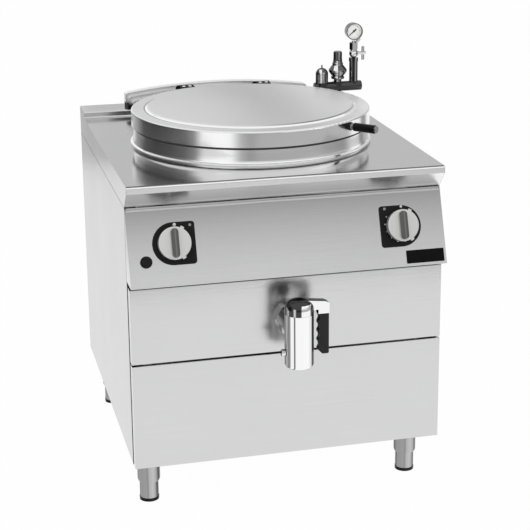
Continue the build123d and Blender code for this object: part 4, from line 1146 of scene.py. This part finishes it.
@dataclass
class Kettle:
    """Vessel, jacket, insulation and the heating below; the flare is in millimetres."""

    shop: Workshop
    flange_radius: float = 302.0 * MM
    neck_radius: float = 313.0 * MM
    neck_edge: float = 1.5 * MM
    flare: Table = ((313.0, 900.0), (313.4, 888.0), (314.3, 882.0), (315.4, 879.8), (317.5, 878.8),
                    (319.5, 878.2), (320.8, 877.2), (321.1, 876.2), (320.6, 875.2), (318.8, 874.5),
                    (316.0, 874.0), (314.4, 872.8), (314.0, 869.2))

    def build(self) -> None:
        """Dress the vessel and its heating, and spin the neck's skin."""
        self.shop.dress(NECK, "kettle")
        self._neck()
        self.shop.dress(BARE, "steam_jacket", "drain_pipe", "flue_duct")
        self.shop.dress(WOOL, "insulation")
        self.shop.dress(CAST, "burner")
        self.shop.dress(GAS_TUBE, "gas_pipework")
        self.shop.dress(VALVE_ALLOY, "gas_valve")

    def _neck(self) -> None:
        """Make the spun neck, which flares into a fine bead on the worktop."""
        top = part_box("kettle_neck")[1].z
        profile = [(self.flange_radius, top), (self.neck_radius - self.neck_edge, top),
                   (self.neck_radius, top - self.neck_edge)]
        profile += [(r * MM, z * MM) for r, z in self.flare]
        centre = Matrix.Translation(Vector(KETTLE_CENTRE))
        self.shop.turned("spun_kettle_neck", "kettle_neck", [centre], profile, NECK, "steel_polished",
                         sides=192)


@dataclass
class Lid:
    """Lid with its seal, handle and hinges."""

    shop: Workshop

    def build(self) -> None:
        """Dress the lid's nodes."""
        self.shop.dress(LID, "lid_shell", "lid_liner")
        self.shop.dress(RUBBER, "lid_seal")
        self.shop.dress(CASE_CHROME, "lid_handle_rod")
        self.shop.dress(CHROME, "hinge_screws")
        self.shop.dress(BLACK_GLOSS, "lid_handle_grip")
        self.shop.dress(BLACK_ENAMEL, "hinge_brackets", "hinge_posts", "hinge_axles")


@dataclass
class Flue:
    """Stepped hood on its end blocks."""

    shop: Workshop

    def build(self) -> None:
        """Dress the hood."""
        self.shop.dress(HOOD, "flue_hood")
        self.shop.dress(BLACK_ENAMEL, "flue_hood_blocks")


@dataclass
class Tap:
    """Swivel draw-off tap."""

    shop: Workshop

    def build(self) -> None:
        """Dress the tap."""
        self.shop.dress(TAP_CHROME, "tap_body")
        self.shop.dress(CAP_CHROME, "tap_cap")
        self.shop.dress(COCK_CHROME, "tap_flange", "tap_locking_screw")
        self.shop.dress(BRASS, "tap_plug")
        self.shop.dress(GRIP_BLACK, "tap_grip")


@dataclass
class SafetyGroup:
    """Manifold, vacuum valve, cock, gauge and relief valve, whose outlines are in millimetres."""

    shop: Workshop
    dial_x: float = 362.0 * MM
    dial_z: float = 1109.0 * MM
    dial_y: float = 274.5 * MM
    tick_radius: float = 19.6 * MM
    gauge_radius: float = 24.4 * MM
    gauge_rim: float = 2.4 * MM
    pane_depth: float = 1.4 * MM
    valve_rounding: float = 0.8 * MM
    tick_lift: float = 0.12 * MM
    long_tick: tuple[float, float] = (4.2 * MM, 0.9 * MM)
    short_tick: tuple[float, float] = (2.4 * MM, 0.45 * MM)
    first_angle: float = 221.0
    sweep: float = 262.0
    ticks: int = 31
    relief_centre: tuple[float, float] = (315.0 * MM, 275.5 * MM)
    relief_body: Table = ((0.0, 966.0), (11.0, 966.0), (11.0, 972.0), (18.5, 975.0), (19.5, 980.0),
                          (16.5, 983.0), (20.5, 987.0), (26.0, 996.0), (26.0, 1001.0), (18.0, 1012.0),
                          (15.5, 1014.0), (15.5, 1020.0), (13.5, 1021.5), (13.5, 1027.5), (0.0, 1027.5))
    relief_cap: Table = ((0.0, 1027.9), (12.6, 1027.9), (13.2, 1031.0), (12.4, 1033.0), (12.4, 1050.0),
                         (10.5, 1053.6), (0.0, 1054.0))

    def build(self) -> None:
        """Dress the group and print the dial."""
        self.shop.dress(COLUMN_CHROME, "steam_riser", "gauge_column", "vacuum_valve_pin")
        self.shop.dress(COCK_CHROME, "gauge_cock", "gauge_cock_handle")
        self.shop.dress(VALVE_CHROME, "vacuum_valve")
        self.shop.dress(PIPE_CHROME, "safety_manifold")
        self._relief_valve()
        self.shop.dress(BLACK_MATTE, "gauge_pointer")
        self._gauge()
        self._scale()

    def _gauge(self) -> None:
        """Make the gauge's case, dial and window about their common axis."""
        low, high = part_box("gauge_case")
        front, back = low.y, high.y
        place = Matrix.Translation(Vector((self.dial_x, 0.0, self.dial_z))) @ FACING_FRONT
        outer = self.gauge_radius
        inner = outer - self.gauge_rim
        pane = -front - self.pane_depth
        case = ((0.0, -back), (outer - 2.0 * MM, -back), (outer - 0.6 * MM, 0.6 * MM - back),
                (outer - 0.6 * MM, -front - 6.0 * MM), (outer, -front - 5.5 * MM), (outer, -front - 1.0 * MM),
                (outer - 1.0 * MM, -front), (inner, -front), (inner, -self.dial_y - 0.3 * MM))
        for name, node, profile, finish, slot in (
                ("gauge_shell", "gauge_case", case, CASE_CHROME, "chrome"),
                ("gauge_face", "gauge_dial", ((0.0, -self.dial_y), (inner, -self.dial_y)), DIAL_WHITE,
                 "dial_white"),
                ("gauge_window", "gauge_glass", ((0.0, pane), (inner, pane)), GLASS, "gauge_glass")):
            self.shop.turned(name, node, [place], profile, finish, slot)

    def _relief_valve(self) -> None:
        """Make the relief valve's turned body and its lifting cap."""
        place = Matrix.Translation(Vector((*self.relief_centre, 0.0)))
        for name, node, outline, finish, slot, body in (
                ("relief_valve_body", "safety_valve_body", self.relief_body, VALVE_CHROME, "chrome", "pan"),
                ("relief_valve_cap", "safety_valve_cap", self.relief_cap, DARK_CHROME, "black_plastic",
                 "relief_cap")):
            profile = [(r * MM, z * MM) for r, z in outline]
            self.shop.turned(name, node, [place], profile, finish, slot, body, rounding=self.valve_rounding)

    def _scale(self) -> None:
        """Add the dial's ticks, each a thin raised bar."""
        mesh = bmesh.new()
        for index in range(self.ticks):
            angle = math.radians(self.first_angle - self.sweep * index / (self.ticks - 1))
            length, width = self.short_tick if index % 5 else self.long_tick
            along = Vector((math.cos(angle), 0.0, math.sin(angle)))
            across = Vector((-along.z, 0.0, along.x)) * (width / 2)
            inner = Vector((self.dial_x, self.dial_y, self.dial_z)) + along * (self.tick_radius - length)
            outer = inner + along * length
            lift = Vector((0.0, -self.tick_lift, 0.0))
            base = [inner - across, inner + across, outer + across, outer - across]
            low = [mesh.verts.new(v) for v in base]
            high = [mesh.verts.new(v + lift) for v in base]
            mesh.faces.new(high)
            for i in range(4):
                j = (i + 1) % 4
                mesh.faces.new((low[i], low[j], high[j], high[i]))
        self.shop.piece("gauge_scale", mesh, BLACK_MATTE, "black_metal", smooth=False)


# Studio


def set_on_stage(name: str, mesh: bmesh.types.BMesh, material: bpy.types.Material) -> bpy.types.Object:
    """Turn a mesh into an object of the studio, which is no part of the pan."""
    data = bpy.data.meshes.new(name)
    mesh.to_mesh(data)
    mesh.free()
    data.materials.append(material)
    made = bpy.data.objects.new(name, data)
    bpy.context.scene.collection.objects.link(made)
    return made


@dataclass
class PhotoCamera:
    """Camera at the photograph's viewpoint, from a fit to the cabinet's edges."""

    place: Point = (-0.870141, -3.769463, 1.767021)
    yaw: float = 0.2486
    pitch: float = 0.2754
    roll: float = -0.0058
    focal_px: float = 1485.8755
    centre_px: tuple[float, float] = (285.0, 212.0)
    frame_px: float = 530.0
    sensor: float = 36.0

    def build(self) -> None:
        """Make the scene's camera."""
        data = bpy.data.cameras.new("photo_camera")
        data.sensor_width = self.sensor
        data.lens = self.focal_px * data.sensor_width / self.frame_px
        data.shift_x = (self.frame_px / 2 - self.centre_px[0]) / self.frame_px
        data.shift_y = (self.centre_px[1] - self.frame_px / 2) / self.frame_px
        cy, sy = math.cos(self.yaw), math.sin(self.yaw)
        cp, sp = math.cos(self.pitch), math.sin(self.pitch)
        forward = Vector((sy * cp, cy * cp, -sp))
        level = Vector((cy, -sy, 0.0))
        above = level.cross(forward)
        cr, sr = math.cos(self.roll), math.sin(self.roll)
        right = level * cr + above * sr
        up = above * cr - level * sr
        camera = bpy.data.objects.new("photo_camera", data)
        basis = Matrix((right, up, -forward)).transposed().to_4x4()
        camera.matrix_world = Matrix.Translation(Vector(self.place)) @ basis
        bpy.context.scene.collection.objects.link(camera)
        bpy.context.scene.camera = camera


@dataclass(frozen=True)
class Lamp:
    """A soft lamp on a stand, turned to the pan."""

    name: str
    azimuth: float
    distance: float
    height: float
    width: float
    tall: float
    power: float
    aim_z: float = 0.75

    def build(self) -> None:
        """Add the lamp; azimuth 0 is the front and 90 the pan's right."""
        data = bpy.data.lights.new(self.name, "AREA")
        data.shape = "RECTANGLE"
        data.size = self.width
        data.size_y = self.tall
        data.energy = self.power
        turn = math.radians(self.azimuth)
        spot = Vector((math.sin(turn) * self.distance, -math.cos(turn) * self.distance, self.height))
        away = spot - Vector((0.0, 0.0, self.aim_z))
        placed = bpy.data.objects.new(self.name, data)
        placed.matrix_world = Matrix.Translation(spot) @ away.to_track_quat("Z", "Y").to_matrix().to_4x4()
        bpy.context.scene.collection.objects.link(placed)


@dataclass(frozen=True)
class Screen:
    """A round screen about the pan that only polished metal mirrors, shaded by azimuth."""

    name: str
    low: float
    high: float
    distance: float
    shades: Table
    steps: int = 72

    def build(self) -> None:
        """Add the screen; azimuth 0 is the front and 90 the pan's right."""
        mesh = bmesh.new()
        turns = [math.tau * step / self.steps for step in range(self.steps)]
        rings = [[mesh.verts.new((math.sin(turn) * self.distance, -math.cos(turn) * self.distance, z))
                  for turn in turns] for z in (self.low, self.high)]
        for i in range(self.steps):
            j = (i + 1) % self.steps
            mesh.faces.new((rings[0][i], rings[0][j], rings[1][j], rings[1][i]))
        placed = set_on_stage(self.name, mesh, self._glow())
        for kind in ("camera", "diffuse", "shadow", "transmission"):
            setattr(placed, f"visible_{kind}", False)

    def _glow(self) -> bpy.types.Material:
        """Return a glowing material whose shade follows the azimuth."""
        material, bench = fresh_material(self.name)
        x, y, z = bench.axes(bench.place())
        turn = x.bearing(y * -1.0) / math.tau + 0.5
        shade = bench.table(turn, [(azimuth / 360.0 + 0.5, level) for azimuth, level in self.shades])
        glow = bench.add("ShaderNodeBsdfPrincipled", {}, {
            "Base Color": BLACK, "Specular IOR Level": 0.0, "Roughness": 1.0,
            "Emission Color": shade, "Emission Strength": 1.0})
        bench.end("ShaderNodeOutputMaterial", glow)
        return material


@dataclass
class Studio:
    """Pale floor, white surroundings, soft lamps and grey screens for the metal to mirror."""

    floor_size: float = 30.0
    floor_drop: float = 0.5 * MM
    floor_colour: Colour = (0.86, 0.86, 0.86)
    floor_glow: float = 0.985
    ambient: float = 0.6
    lamps: tuple[Lamp, ...] = (
        Lamp("key_lamp", -40.0, 3.4, 1.5, 0.8, 2.6, 9.0),
        Lamp("fill_lamp", 60.0, 3.6, 2.0, 1.4, 2.0, 8.0),
    )
    screens: tuple[Screen, ...] = (
        Screen("low_screen", 0.3, 1.0, 2.3, (
            (-180.0, 1.0), (-168.0, 0.9), (-160.0, 0.5), (-149.0, 0.4), (-130.0, 0.08), (-112.0, 0.05),
            (-92.0, 0.07), (-75.0, 0.11), (-64.0, 0.24), (-56.0, 1.0), (-31.0, 1.0), (-22.0, 0.45),
            (-14.0, 0.32), (-4.0, 0.42), (36.0, 0.44), (88.0, 0.5), (95.0, 1.0), (108.0, 1.0),
            (114.0, 0.3), (122.0, 0.3), (130.0, 0.95), (180.0, 1.0))),
        Screen("middle_screen", 1.0, 1.5, 2.3, (
            (-180.0, 0.68), (-176.0, 0.68), (-173.0, 1.0), (-162.0, 1.0), (-157.0, 0.55), (-149.0, 0.4),
            (-130.0, 0.1), (-112.0, 0.08),
            (-92.0, 0.1), (-75.0, 0.16), (-64.0, 0.3), (-56.0, 1.0), (-31.0, 1.0), (-22.0, 0.7),
            (36.0, 0.7), (60.0, 0.45), (84.0, 0.4), (95.0, 0.9), (108.0, 0.9), (116.0, 0.3),
            (130.0, 0.68), (180.0, 0.68))),
        Screen("high_screen", 1.5, 2.1, 2.3, (
            (-180.0, 0.7), (-176.0, 0.7), (-173.0, 1.0), (-156.0, 1.0), (-149.0, 0.6), (-130.0, 0.25),
            (-112.0, 0.15), (-92.0, 0.15), (-75.0, 0.25), (-62.0, 1.0), (60.0, 1.0), (84.0, 0.5),
            (116.0, 0.5), (124.0, 0.7), (180.0, 0.7))),
    )

    def build(self) -> None:
        """Set up the surroundings."""
        bpy.context.scene.view_settings.view_transform = "Standard"
        self._world()
        self._floor()
        for thing in (*self.lamps, *self.screens):
            thing.build()

    @staticmethod
    def _seen(bench: NodeBench) -> Signal:
        """Return 1 for rays from the camera, a reflection or glass, else 0."""
        camera = bench.add("ShaderNodeLightPath", out="Is Camera Ray")
        gloss = bench.add("ShaderNodeLightPath", out="Is Glossy Ray")
        glass = bench.add("ShaderNodeLightPath", out="Is Transmission Ray")
        return camera.either(gloss).either(glass)

    def _world(self) -> None:
        """Make a white world that lights the pan at a plain level."""
        world = bpy.data.worlds.new("white_studio")
        world.use_nodes = True
        bench = NodeBench(world.node_tree)
        light, white = (bench.add("ShaderNodeBackground", {}, {"Color": WHITE, "Strength": strength})
                        for strength in (self.ambient, 1.0))
        mixed = bench.add("ShaderNodeMixShader", {}, {0: self._seen(bench), 1: light, 2: white})
        bench.end("ShaderNodeOutputWorld", mixed)
        bpy.context.scene.world = world

    def _floor(self) -> None:
        """Make a pale floor that keeps the pan's soft shadow."""
        mesh = bmesh.new()
        half = self.floor_size / 2
        corners = ((-half, -half), (half, -half), (half, half), (-half, half))
        mesh.faces.new([mesh.verts.new((x, y, -self.floor_drop)) for x, y in corners])
        material, bench = fresh_material("pale_floor")
        matte = bench.add("ShaderNodeBsdfDiffuse", {}, {"Color": self.floor_colour})
        glow = bench.add("ShaderNodeEmission", {}, {"Color": WHITE, "Strength": 1.0})
        share = self._seen(bench) * self.floor_glow
        mixed = bench.add("ShaderNodeMixShader", {}, {0: share, 1: matte, 2: glow})
        bench.end("ShaderNodeOutputMaterial", mixed)
        set_on_stage("studio_floor", mesh, material)


def main() -> None:
    """Build the scene in order."""
    logging.basicConfig(level=logging.INFO, format="%(message)s")
    PhotoCamera().build()
    Studio().build()
    shop = Workshop()
    for part in (Cabinet, Console, Kettle, Lid, Flue, Tap, SafetyGroup):
        part(shop).build()
    LOG.info("%d pieces made", len(shop.made))


if __name__ == "__main__":
    main()
